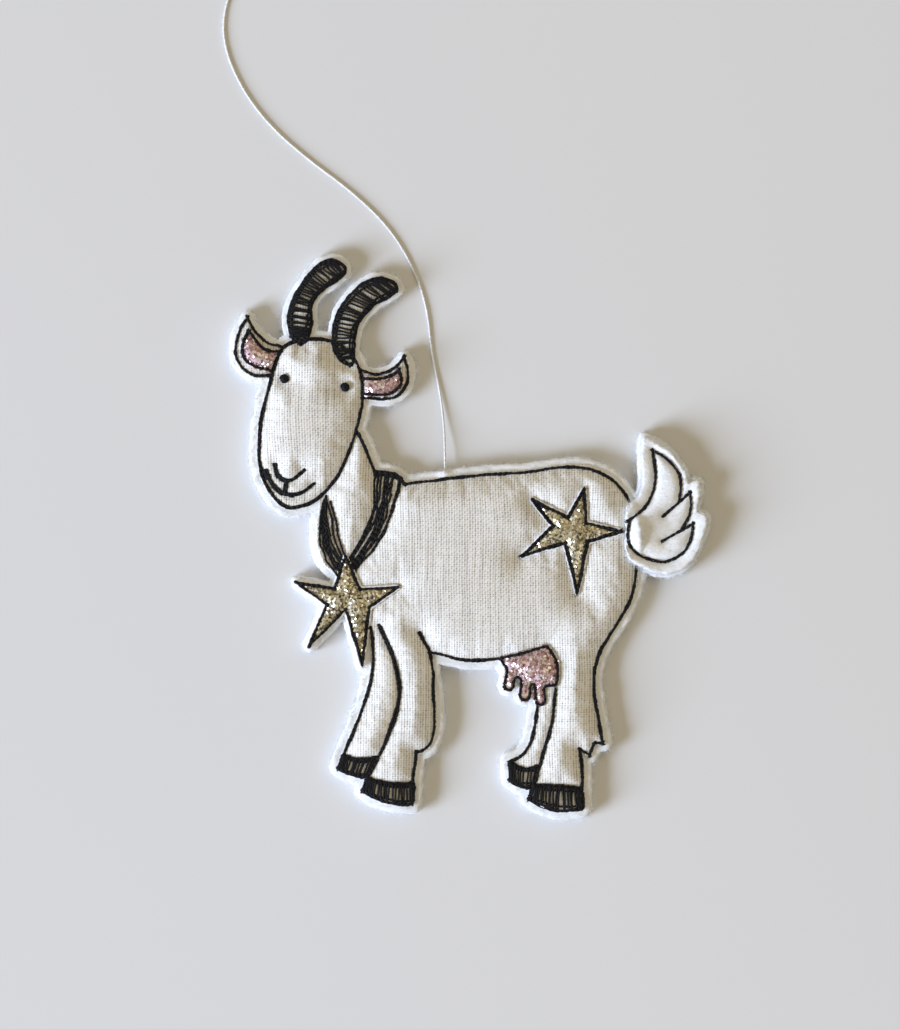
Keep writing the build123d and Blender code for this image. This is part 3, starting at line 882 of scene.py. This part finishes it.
stitch_item = lofted(
    "stitch_item",
    [
        ring(x, radius, 6, lift)
        for x, radius, lift in (
            (-0.5, 0.25, -1.3), (-0.4, 0.75, -0.5), (-0.15, 1.0, 0.0),
            (0.15, 1.0, 0.0), (0.4, 0.75, -0.5), (0.5, 0.25, -1.3),
        )
    ],
)
flake_item = lofted(
    "flake_item",
    [
        [(cos(pi * j / 3), sin(pi * j / 3), z) for j in range(6)]
        for z in (0.0, 0.12)
    ],
)
fibre_item = lofted(
    "fibre_item",
    [
        [
            (0.04 * cos(2 * pi * j / 3) * (1 - 0.6 * up) + 0.55 * up * up,
             0.04 * sin(2 * pi * j / 3) * (1 - 0.6 * up), up)
            for j in range(3)
        ]
        for up in (0.0, 0.35, 0.7, 1.0)
    ],
)


# ------------------------------------------------------------------ the sewn surface
def band_line(band, share):
    """A collar strand, a share of the way across its band."""
    inner, outer = band
    return [
        (a[0] + share * (b[0] - a[0]), a[1] + share * (b[1] - a[1]))
        for a, b in zip(inner, outer)
    ]


collar_lines = [
    band_line(band, share)
    for band, shares in zip(collar_bands, collar_shares)
    for share in shares
]
edge_lines = [head, *body_lines, *ear_lines["left"], *ear_lines["right"]]
edge_runs = runs_of(edge_lines)
udder_run = closed(shrunk(even_loop(cut_outlines("udder")[0], 0.2), trimmed_margin))
star_runs = straight_lines(pendant_star) + straight_lines(flank_star)
inner_ear_runs = runs_of([*inner_ear_lines["left"], *inner_ear_lines["right"]])
patch_runs = [*star_runs, udder_run]
tail_runs = runs_of(tail_lines)
collar_runs = runs_of(collar_lines)
inner_runs = [
    *patch_runs, *runs_of([*leg_lines, *face_lines]), *collar_runs, *inner_ear_runs, *tail_runs
]
satin_nodes = [f"horn_{side}_stitching" for side in ("left", "right")]
satin_nodes += [f"{name}_stitching" for name in hoof_sides] + list(eyes)
satin_outlines = {name: cut_outlines(name)[0] for name in satin_nodes}
filled_runs = [even_loop(outline, 0.3) for outline in satin_outlines.values()]
horn_runs = filled_runs[:2]
edge_tree = tree_of(np.vstack(edge_runs + horn_runs))
every_tree = tree_of(np.vstack(edge_runs + inner_runs + filled_runs))


def step_up(share):
    share = min(1.0, max(0.0, share))
    return share * share * (3 - 2 * share)


def seam_level(points):
    """How high the sewn-down linen lies: lowest at the goat's edge."""
    away = distances(points, edge_tree)
    rise = inner_seam_level - edge_seam_level
    return np.array([edge_seam_level + rise * step_up(d / seam_reach) for d in away])


def sewn_flat(points):
    """Which points lie under a filled area of stitches."""
    flat = np.zeros(len(points), bool)
    for outline in satin_outlines.values():
        flat |= inside(points, outline)
    return flat


def puffed(points):
    """The padded linen's height before the cloth is let go."""
    away = distances(points, every_tree)
    rise = np.where(sewn_flat(points), 0.1, puff_height * (1 - np.exp(-away / puff_reach)))
    return seam_level(points) + rise, away


cloth_facts = {
    "quality": 6, "mass": 0.25, "tension_stiffness": 12, "compression_stiffness": 8,
    "shear_stiffness": 4, "bending_stiffness": 0.25, "shrink_min": -0.015,
    "use_pressure": True, "uniform_pressure_force": 2.5, "vertex_group_mass": "sewn",
}


def let_cloth_settle(points, faces, start, held):
    """Cloth under pressure, sewn down where held; returns how far each point moves, in mm."""
    enlarge, moments, most_aside, most_up = 0.025, 20, 0.1, 0.3
    verts = [(x * enlarge, y * enlarge, z * enlarge) for (x, y), z in zip(points, start)]
    mesh = bpy.data.meshes.new("settling_linen")
    mesh.from_pydata(verts, [], faces)
    cloth_piece = new_object("settling_linen", mesh)
    group = cloth_piece.vertex_groups.new(name="sewn")
    group.add([int(i) for i in np.flatnonzero(held)], 1.0, "REPLACE")
    settings = cloth_piece.modifiers.new("cloth", "CLOTH").settings
    for key, value in cloth_facts.items():
        setattr(settings, key, value)
    settings.effector_weights.gravity = 0
    scene = bpy.context.scene
    for moment in range(1, moments + 1):
        scene.frame_set(moment)
    shown = cloth_piece.evaluated_get(bpy.context.evaluated_depsgraph_get())
    settled = np.array([tuple(v.co) for v in shown.data.vertices]) / enlarge
    scene.frame_set(1)
    bpy.data.objects.remove(cloth_piece)
    moved = settled - np.column_stack([points, start])
    moved[:, :2] = np.clip(moved[:, :2], -most_aside, most_aside)
    moved[:, 2] = most_up * np.tanh(moved[:, 2] / most_up)
    return moved


def make_linen():
    """The linen goat, with mesh points on its seams."""
    outline = wavy(even_loop(cut_outlines("linen_goat")[0], 0.45), 0.22, 2.2, 4.0)
    coarse = [smooth_line(line, 0.7) for line in edge_lines + collar_lines[::9]]
    coarse += [run[::3] for run in inner_runs[:24]]
    points, faces = filled(outline, 0.82, np.vstack(coarse))
    start, away = puffed(points)
    held = (away < 0.3) | sewn_flat(points)
    held |= np.arange(len(points)) < len(outline)
    moved = np.zeros((len(points), 3))
    moved = let_cloth_settle(points, faces, start, held)
    flat = points + moved[:, :2]
    top = start + moved[:, 2]
    top += lumps(flat, 0.05, 6, 2.0)
    piece = cloth_slab("linen_applique", flat, faces, top, top - linen_thickness, 1)
    smooth = piece.modifiers.new("smooth", "SUBSURF")
    smooth.levels = smooth.render_levels = 1
    mesh = evaluated_mesh(piece)
    piece.modifiers.remove(smooth)
    piece.data = mesh
    return piece


linen = make_linen()
linen_surface = surface_of([linen])


def flat_area(node):
    """The area of the cut that a CAD node stands for, in square metres."""
    loop = cut_outlines(node)[0]
    x, y = loop[:, 0], loop[:, 1]
    return abs((x * np.roll(y, -1) - y * np.roll(x, -1)).sum()) / 2 * MM * MM


def declare_sheet(node):
    flat_area(node)


dress(linen, "linen", "linen", nodes=["linen_goat"], slot="linen")
declare_sheet("linen_goat")

# ------------------------------------------------------------------ felt and wadding
exit_at = np.array(thread_route[0])


def thread_gap(x, y):
    """The felts part a little where the thread comes out between them."""
    return 0.75 * exp(-((x - exit_at[0]) ** 2) / 1.3) * exp(-((y - exit_at[1]) ** 2) / 6.0)


def make_front_felt():
    """The front felt, pressed down at the seams and pushed up under the linen."""
    outline = wavy(even_loop(cut_outlines("felt_front")[0], 0.5), 0.3, 3.0, 9.0)
    points, faces = filled(outline, 1.0)
    rims = rim_top + lumps(points, 0.16, 3, 5.0)
    rims -= 0.2 * np.exp(-((distances(points, edge_tree) / 0.9) ** 2))
    top, bottom = [], []
    for (x, y), rim in zip(points, rims):
        over = height_on(linen_surface, x, y, None)
        level = rim if over is None else min(over - linen_thickness - air_gap, rim + 3.0)
        level += thread_gap(x, y)
        top.append(level)
        lowest = back_felt_top + air_gap + thread_gap(x, y)
        bottom.append(max(lowest, level - felt_thickness))
    return cloth_slab(
        "felt_front_layer", points, faces, top, bottom, edge_rough=0.3, **felt_edge
    )


def make_back_felt(seam_tree):
    """The back felt, drawn in a little where the seam goes through it."""
    outline = wavy(even_loop(cut_outlines("felt_back")[0], 0.5), 0.34, 2.6, 21.0)
    points, faces = filled(outline, 1.0)
    top = back_felt_top + lumps(points, 0.03, 1, 1.0)
    bottom = 0.32 * np.exp(-((distances(points, seam_tree) / 0.6) ** 2))
    return cloth_slab(
        "felt_back_layer", points, faces, top, bottom, edge_rough=0.3, **felt_edge
    )


def make_wadding(front):
    """The wadding, which fills the room between the two felts and thins at its edge."""
    outline = even_loop(cut_outlines("wadding")[0], 0.9)
    points, faces = filled(outline, 1.4)
    surface = surface_of([front])
    top = []
    for (x, y), d in zip(points, distances(points, tree_of(outline))):
        hit = surface.ray_cast(Vector((x * MM, y * MM, 0.0)), Vector((0, 0, 1)))
        ceiling = hit[0].z / MM if hit[0] is not None else 2.0
        top.append(back_felt_top + 0.05 + (ceiling - back_felt_top - 0.1) * step_up(d / 2.5 + 0.2))
    bottom = [back_felt_top + 0.04] * len(points)
    return cloth_slab("wadding_layer", points, faces, top, bottom, 2, 0.2, 0.3)


back_seam = shrunk(even_loop(cut_outlines("back_stitching")[0], 0.4), half_band)
front_felt = make_front_felt()
back_felt = make_back_felt(tree_of(back_seam))
wadding = make_wadding(front_felt)
for piece, node in ((front_felt, "felt_front"), (back_felt, "felt_back")):
    dress(piece, "felt", "felt", nodes=[node], slot="white_felt")
    declare_sheet(node)
dress(wadding, "wadding", "wadding", nodes=["wadding"], slot="wadding")

# ------------------------------------------------------------------ the felt tail
under_tail = surface_of([linen, front_felt])


def make_tail():
    """The tail, eased up over the step from the goat's body down to its rim."""
    outline = wavy(even_loop(cut_outlines("felt_tail")[0], 0.35), 0.3, 2.4, 31.0)
    points, faces = filled(outline, 0.6)
    away = distances(points, tree_of(np.vstack(tail_runs)))
    plume = inside(points, np.vstack([smooth_line(line, 1.0) for line in tail_lines[:2]]))
    base = heights(under_tail, points, rim_top)
    base = np.maximum(base, rim_top) + air_gap
    easing_reach = 5.5
    near = [np.hypot(*(points - point).T) < easing_reach for point in points]
    eased = np.array([base[some].mean() for some in near])
    lifted = np.maximum(eased - base, 0.0)
    dip = 0.5 * np.exp(-((away / 0.75) ** 2))
    fullness = np.where(plume, 0.5, 0.35) * (1 - np.exp(-away / 2.2))
    top = base + lifted + tail_thickness - dip + fullness + lumps(points, 0.12, 2.2, 7.0)
    return cloth_slab(
        "felt_tail_piece", points, faces, top, base, edge_rough=0.35, **felt_edge
    )


tail = make_tail()
dress(tail, "felt", "felt", nodes=["felt_tail"], slot="white_felt")
declare_sheet("felt_tail")

# ------------------------------------------------------------------ glitter fabric
def make_patch(name, loop, seams, sewn_edge=None):
    """A patch of glitter fabric; outside its sewn edge, the cut rim is left bare and white."""
    outline = wavy(even_loop(loop, 0.3), 0.16, 1.2, 41.0)
    glittered = None if sewn_edge is None else even_loop(sewn_edge, 0.25)
    points, faces = filled(outline, 0.5, glittered)
    base = heights(linen_surface, points, inner_seam_level)
    rim = np.arange(len(points)) < len(outline)
    dip = 0.14 * np.exp(-((distances(points, seams) / 0.5) ** 2))
    top = base + patch_thickness - dip + np.where(rim, 0.05, 0.0)
    piece = cloth_slab(name, points, faces, top, base + air_gap, 2, 0.03, 0.12)
    if glittered is not None:
        glittered = shrunk(glittered, 0.12)
        centres = face_centres(piece)
        within = inside(centres, glittered) | inside(centres - glitter_shift, glittered)
        for face, kept in zip(piece.data.polygons, within):
            if not kept:
                face.material_index = 1
    return piece


def face_centres(piece):
    return np.array([tuple(face.center.xy / MM) for face in piece.data.polygons])


def part_of(piece, name, wanted):
    """Some of a piece's faces as a mesh of their own, for things to be strewn on."""
    mesh = bpy.data.meshes.new(name)
    faces = [list(face.vertices) for face, kept in zip(piece.data.polygons, wanted) if kept]
    mesh.from_pydata([v.co for v in piece.data.vertices], [], faces)
    return new_object(name, mesh)


def faces_up(piece):
    return np.array([face.normal.z > 0.3 for face in piece.data.polygons])


def faces_with(piece, finish_index):
    return np.array([face.material_index == finish_index for face in piece.data.polygons])


def strew_flakes(piece, name, finish, density, seed, size):
    flakes = grown(
        name, part_of(piece, name + "_ground", faces_up(piece) & faces_with(piece, 0)), "scatter",
        {
            "Density": density / MM**2, "Item": flake_item, "Seed": seed,
            "Least size": (size * 0.55 * MM, size * 0.55 * MM, 0.3 * MM),
            "Most size": (size * MM, size * MM, 0.45 * MM),
            "Least turn": (-0.4, -0.4, 0.0), "Most turn": (0.4, 0.4, pi),
            "Finish": finishes[finish],
        },
    )
    smoothed(flakes.data, False)
    return flakes


patch_seams = tree_of(np.vstack(patch_runs + inner_ear_runs))
glitter_shift = (0.2, 0.0)
sewn_edges = {"pendant_star": np.array(pendant_star), "flank_star": np.array(flank_star)}
patches = []
flake_density, flake_size = 4.2, 0.42
patch_nodes = ("pendant_star", "flank_star", "inner_ear_left", "inner_ear_right", "udder")
for seed, node in enumerate(patch_nodes):
    tint = "gold" if "star" in node else "pink"
    slot = tint + "_glitter"
    patch = make_patch(
        node + "_fabric", cut_outlines(node)[0], patch_seams, sewn_edges.get(node)
    )
    dress(patch, tint + "_base", "white_edge", nodes=[node], slot=slot)
    patches.append(patch)
    glitter = strew_flakes(
        patch, node + "_flakes", tint + "_flakes", flake_density, seed + 3, flake_size
    )
    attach(glitter, "root")
    if "star" in node:
        flat_area(node)

# ------------------------------------------------------------------ black stitching
sewn_on = surface_of([linen, front_felt, tail, *patches])


def wobbled(run, size, reach, seed):
    """A sewn line as a hand guides it: short straight stitches that miss it a little."""
    aside, at = sideways(run), lengths_along(run)
    random = np.random.default_rng(int(seed * 100) + 1)
    knots = [0.0]
    while knots[-1] < at[-1]:
        knots.append(knots[-1] + reach * random.uniform(0.6, 1.4))
    knots[-1] = at[-1]
    missed = random.uniform(-size, size, len(knots))
    corners = points_at(run, at, knots) + points_at(aside, at, knots) * missed[:, None]
    straight, bent = points_at(corners, knots, at), aside * np.interp(at, knots, missed)[:, None]
    return straight * 0.75 + (run + bent) * 0.25


def laid_on(run, lift):
    """A line dropped on to the sewn surface, with its thread's middle just above it."""
    z = heights(sewn_on, run, rim_top)
    z = np.convolve(np.pad(z, 2, mode="edge"), np.ones(5) / 5, mode="valid")
    return [(x, y, level + lift) for (x, y), level in zip(run, z)]


def beside(run, distance):
    """A sewn line moved sideways."""
    return run + sideways(run) * distance


def sew(name, runs, nodes, seed, passes=2, spread=0.1, wander=0.13, reach=1.9):
    """Sews runs of stitches, each line gone over more than once, on a thread beneath."""
    lines, cores, radius = [], [], thread_radius
    for number, run in enumerate(runs):
        for again in range(passes):
            key = seed * 7.3 + number * 1.9 + again * 3.1
            side = (again - (passes - 1) / 2) * spread * 2
            guided = wobbled(beside(run, side), wander, reach, key)
            lines.append(laid_on(guided, radius * 0.75))
            cores.append(laid_on(guided, radius * 0.35))
    strand(name + "_core", cores, "black", radius * 0.86, [], "black_thread", sides=5)
    pitch = stitch_pitch
    piece = grown(
        name, lines_object(name + "_lines", lines), "stitches",
        {
            "Pitch": pitch * MM, "Item": stitch_item, "Seed": seed,
            "Least size": (pitch * 1.05 * MM, radius * 0.85 * MM, radius * 0.8 * MM),
            "Most size": (pitch * 1.3 * MM, radius * 1.25 * MM, radius * 1.1 * MM),
            "Least turn": (-0.5, -0.08, -0.16), "Most turn": (0.5, 0.08, 0.16),
            "Finish": finishes["black"],
        },
    )
    dress(piece, "black", nodes=nodes, slot="black_thread")


def strand(name, lines, finish, radius, nodes, slot, sides=6):
    """One continuous thread along each line, as a piece."""
    piece = grown(
        name, lines_object(name + "_lines", lines), "strand",
        {"Radius": radius * MM, "Sides": sides, "Finish": finishes[finish]},
    )
    return dress(piece, finish, nodes=nodes, slot=slot)


def ladder(sides, seed, dense_start, dense_end, slant):
    """Near-parallel strokes from side to side, some of them touching and some apart."""
    fineness, touching, apart = 0.1, 0.32, [0.44, 0.54, 0.64, 0.76]
    one, other = (smooth_line(side, fineness) for side in sides)
    long = (len(one) + len(other)) / 2 * fineness
    random = np.random.default_rng(seed)
    corners, at, stroke = [], 0.0, 0
    while at < 1.0:
        end = min(max(at + slant * random.uniform(0.2, 1.8) / long, 0.0), 1.0)
        pair = [one[int(at * (len(one) - 1))], other[int(end * (len(other) - 1))]]
        corners += pair if stroke % 2 else pair[::-1]
        dense = at < dense_start or at > 1.0 - dense_end
        step = touching if dense else random.choice(apart)
        at += step * random.uniform(0.85, 1.15) / long
        stroke += 1
    line, steps, most_bow = [], 6, 0.045
    for a, b in zip(corners, corners[1:]):
        across = np.array((a[1] - b[1], b[0] - a[0]))
        bow = random.uniform(-most_bow, most_bow)
        for k in range(steps):
            share = k / steps
            line.append(a + (b - a) * share + across * bow * 4 * share * (1 - share))
    return np.array(line + [corners[-1]])


def lengthwise(sides, share):
    """The line that lies a share of the way from one side to the other."""
    one, other = (even_run(smooth_line(side, 0.1), 60) for side in sides)
    return even_run(one + (other - one) * share, 80)


def fill_between(name, sides, seed, dense_start, dense_end, slant, thick):
    """Cross stitches between two sides, and the sewn outline that covers their ends."""
    node = name + "_stitching"
    crossing = laid_on(ladder(sides, seed, dense_start, dense_end, slant), thread_radius)
    strand(name + "_filling", [crossing], "black", thread_radius * 0.85, [node], "black_thread")
    rim = closed(shrunk(even_loop(satin_outlines[node], 0.2), 0.3))
    sew(name + "_outline", [rim], [], seed + 2, spread=0.13, reach=1.0)
    inner = [lengthwise(sides, share) for share in (thick, 1 - thick)]
    sew(name + "_thickening", inner, [], seed + 3, passes=1, spread=0.13, reach=1.0)


def part_run(run, start, end=1.0):
    """The stretch of a line between two shares of its points."""
    return run[int(start * len(run)):int(end * len(run))]


leg_runs = runs_of(leg_lines)
face_runs = runs_of(face_lines)
thick_strokes = [part_run(face_runs[0], 0, 0.5), face_runs[1], part_run(face_runs[2], 0, 0.6)]
late_start = len(collar_shares[0])
for number in range(late_start, len(collar_runs)):
    skipped = (0.0, 0.1, 0.05)[number % 3]
    collar_runs[number] = part_run(collar_runs[number], skipped)
collar_top = part_run(smooth_line(body_lines[1]), 0, 0.8)
sew("head_stitching_line", [smooth_line(head)], ["head_stitching"], 1, spread=0.14)
sew("body_stitching_line", runs_of(body_lines), ["body_stitching"], 2)
sew("leg_line_stitches", leg_runs, ["leg_line_stitching"], 3, spread=0.12)
sew("leg_line_thickening", [part_run(leg_runs[0], 0.02, 0.75)], [], 7, spread=0.26)
sew("nose_mouth_stitches", face_runs, ["nose_mouth_stitching"], 4, spread=0.12)
sew("nose_mouth_thickening", thick_strokes, [], 8, spread=0.24)
sew("tail_stitching_line", tail_runs, ["tail_stitching"], 5, spread=0.06)
sew("collar_strands", collar_runs, ["collar_stitching"], 6, passes=1, wander=0.22)
sew("collar_top_stitches", [collar_top], [], 9, passes=3, spread=0.2)
for side in ("left", "right"):
    for part, lines, seed in (("ear", ear_lines, 10), ("inner_ear", inner_ear_lines, 20)):
        name = f"{part}_{side}_stitch"
        sew(name + "es", runs_of(lines[side]), [name + "ing"], seed + len(side), spread=0.08, reach=1.3)
for number, (name, star, spread) in enumerate(
    (("pendant_star", pendant_star, 0.08), ("flank_star", flank_star, 0.14))
):
    nodes = [name + "_stitching"]
    sew(name + "_stitches", straight_lines(star), nodes, 30 + number, spread=spread)
sew("udder_stitches", [udder_run], ["udder_stitching"], 32, wander=0.05, spread=0.06, reach=0.6)
for side, sides in horn_sides.items():
    fill_between("horn_" + side, sides, 50 + 5 * len(side), 0.08, 0.14, 0.6, 0.13)
for number, (name, sides) in enumerate(hoof_sides.items()):
    fill_between(name, sides, 90 + 5 * number, 0.12, 0.1, 0.35, 0.14)


def eye_spiral(centre):
    """A dot sewn round and round, a little out of true."""
    turns, steps, least_reach, most_reach, most_miss, dome = 3.5, 16, 0.12, 0.71, 0.14, 0.2
    line = []
    for i in range(int(turns * steps) + 1):
        share = i / (turns * steps)
        turn = 2 * pi * i / steps
        reach = least_reach + most_reach * share
        miss = noise.noise(Vector((3 * cos(turn), 3 * sin(turn), centre[0])))
        reach += most_miss * share * miss
        line.append((centre[0] + reach * cos(turn), centre[1] + reach * sin(turn)))
    laid = laid_on(np.array(line), thread_radius)
    top = max(point[2] for point in laid)
    return [(x, y, top + dome * (1 - i / len(laid))) for i, (x, y, _) in enumerate(laid)]


for name, centre in eyes.items():
    spiral = eye_spiral(centre)
    strand(name + "_thread", [spiral], "black", eye_thread_radius, [name], "black_thread")

back_seam_level = 0.19
back_runs = [
    [(x, y, back_seam_level) for x, y in wobbled(closed(back_seam), 0.12, 2.2, 90.0)]
]
back_stitches = grown(
    "back_stitching_line", lines_object("back_lines", back_runs), "stitches",
    {
        "Pitch": stitch_pitch * MM, "Item": stitch_item, "Seed": 91,
        "Least size": (1.1 * MM, 0.15 * MM, -0.13 * MM),
        "Most size": (1.25 * MM, 0.18 * MM, -0.13 * MM),
        "Least turn": (0, 0, -0.1), "Most turn": (0, 0, 0.1), "Finish": finishes["black"],
    },
)
back_stitches.data.flip_normals()
dress(back_stitches, "black", nodes=["back_stitching"], slot="black_thread")

# ------------------------------------------------------------------ felt fibres
def strew_fibres(name, ground, density, seed, shortest, longest, lean):
    """Loose felt fibres that stand out of a surface."""
    fibres = grown(
        name, ground, "scatter",
        {
            "Density": density / MM**2, "Item": fibre_item, "Seed": seed,
            "Least size": (0.4 * MM, 0.4 * MM, shortest * MM),
            "Most size": (0.9 * MM, 0.9 * MM, longest * MM),
            "Least turn": (-lean, -lean, 0.0), "Most turn": (lean, lean, 2 * pi),
            "Finish": finishes["fibre"],
        },
    )
    for vert in fibres.data.vertices:
        vert.co.z = max(vert.co.z, 0.0)
    dress(fibres, "fibre", slot="white_felt")


for number, (piece, density) in enumerate(((front_felt, 7.0), (back_felt, 6.0), (tail, 14.0))):
    name = piece.name + "_fibres"
    ground = part_of(piece, name + "_ground", faces_with(piece, 1))
    strew_fibres(name, ground, density, 100 + number, 0.35, 1.1, 0.9)
fuzz_density = 3.5
under_linen = inside(face_centres(front_felt), cut_outlines("linen_goat")[0])
for number, (piece, wanted) in enumerate(
    ((front_felt, faces_up(front_felt) & ~under_linen), (tail, faces_up(tail)))
):
    name = piece.name + "_fuzz"
    ground = part_of(piece, name + "_ground", wanted)
    strew_fibres(name, ground, fuzz_density, 110 + number, 0.25, 0.6, 1.3)

# ------------------------------------------------------------------ the hanging thread
coil_low, coil_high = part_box("thread_coil")
coil_centre = (coil_low + coil_high) / 2 / MM
coil_turns, points_per_turn = 3, 16
coil_outer, coil_inner = 2.9, 2.05


def coil_points():
    """The thread wound in three turns and back out over them, to end at its knot."""
    end = thread_route[-1]
    start_turn = atan2(end[1] - coil_centre.y, end[0] - coil_centre.x)
    made = []
    steps = coil_turns * points_per_turn
    for layer in range(2):
        for i in range(1, steps + 1):
            share = i / steps
            inward = share if layer == 0 else 1 - share
            reach = coil_outer + (coil_inner - coil_outer) * inward
            turn = start_turn + 2 * pi * coil_turns * (layer + share)
            level = 0.24 + 0.44 * min(1.0, layer * share * coil_turns + layer * 0.3)
            made.append(
                (coil_centre.x + reach * cos(turn), coil_centre.y + reach * sin(turn), level)
            )
    return made


knot_low, knot_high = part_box("thread_knot")
knot_middle = (knot_low + knot_high) / 2 / MM
wound = coil_points()
last = Vector(wound[-1])
over = (last * 0.5 + knot_middle * 0.5) + Vector((0, 0, 0.25))
route = list(thread_route) + wound + [tuple(over), tuple(knot_middle)]
curve = bpy.data.curves.new("hanging_thread_line", "CURVE")
curve.dimensions = "3D"
curve.bevel_depth = thread_diameter / 2 * MM
curve.bevel_resolution = 3
curve.resolution_u = 6
curve.use_fill_caps = True
spline = curve.splines.new("NURBS")
spline.points.add(len(route) - 1)
for point, (x, y, z) in zip(spline.points, route):
    point.co = (x * MM, y * MM, z * MM, 1)
spline.order_u = 3
spline.use_endpoint_u = True
thread = new_object("hanging_thread_line", curve)
dress(thread, "white", nodes=["hanging_thread", "thread_coil"], slot="white_thread")


def knot_line():
    """A small overhand knot, pulled tight."""
    made, steps = [], 48
    for i in range(steps + 1):
        turn = 2 * pi * i / steps
        reach = 0.3 + 0.13 * cos(3 * turn)
        made.append(
            (
                knot_middle.x + reach * cos(2 * turn), knot_middle.y + reach * sin(2 * turn),
                knot_middle.z + 0.16 * sin(3 * turn) + 0.02,
            )
        )
    return made


knot = strand(
    "thread_end_knot", [knot_line()], "white", knot_thread_radius, ["thread_knot"],
    "white_thread",
)
anchor_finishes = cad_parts["thread_anchor"].data.materials
anchor_finishes.clear()
anchor_finishes.append(finishes["white"])

for item in (stitch_item, flake_item, fibre_item):
    bpy.data.objects.remove(item)

# ------------------------------------------------------------------ floor, light, camera
view_centre = Vector((-4.0, 4.6, 0.0)) * MM
view_height = 205.8 * MM
camera_distance = 0.8
sensor = 36.0


def make_floor():
    mesh = bpy.data.meshes.new("table_top")
    reach, just_below = 1.5, 0.02 * MM
    corners = [(-reach, -reach), (reach, -reach), (reach, reach), (-reach, reach)]
    mesh.from_pydata([(x, y, -just_below) for x, y in corners], [], [(0, 1, 2, 3)])
    floor = new_object("table_top", mesh)
    f = Finish("table_paint", (0.72, 0.72, 0.72), 0.8)
    f.colour(f.ramp(f.noise(3.0, 2.0), [(0.3, (0.71, 0.71, 0.71)), (0.7, (0.73, 0.73, 0.73))]))
    floor.data.materials.append(f.material)


def make_light(name, place, size, power, colour):
    data = bpy.data.lights.new(name, "AREA")
    data.shape = "SQUARE"
    data.size = size
    data.energy = power
    data.color = colour
    lamp = new_object(name, data)
    lamp.location = place
    lamp.rotation_euler = (view_centre - Vector(place)).to_track_quat("-Z", "Y").to_euler()


make_floor()
make_light("window", (-2.9, -1.35, 1.2), 1.6, 222.0, (0.67, 0.78, 1.0))
make_light("room", (0.9, 1.2, 1.5), 1.6, 7.0, (1.0, 0.86, 0.62))
world = bpy.data.worlds.new("soft_room")
world.use_nodes = True
background = world.node_tree.nodes["Background"].inputs
background["Color"].default_value = (1.0, 0.86, 0.60, 1)
background["Strength"].default_value = 0.38
bpy.context.scene.world = world
bpy.context.scene.view_settings.view_transform = "Standard"

camera_data = bpy.data.cameras.new("overhead")
camera_data.sensor_width = sensor
camera_data.lens = sensor * camera_distance / view_height
camera_data.clip_end = 10.0
camera = new_object("overhead", camera_data)
camera.location = view_centre + Vector((0, 0, camera_distance))
bpy.context.scene.camera = camera
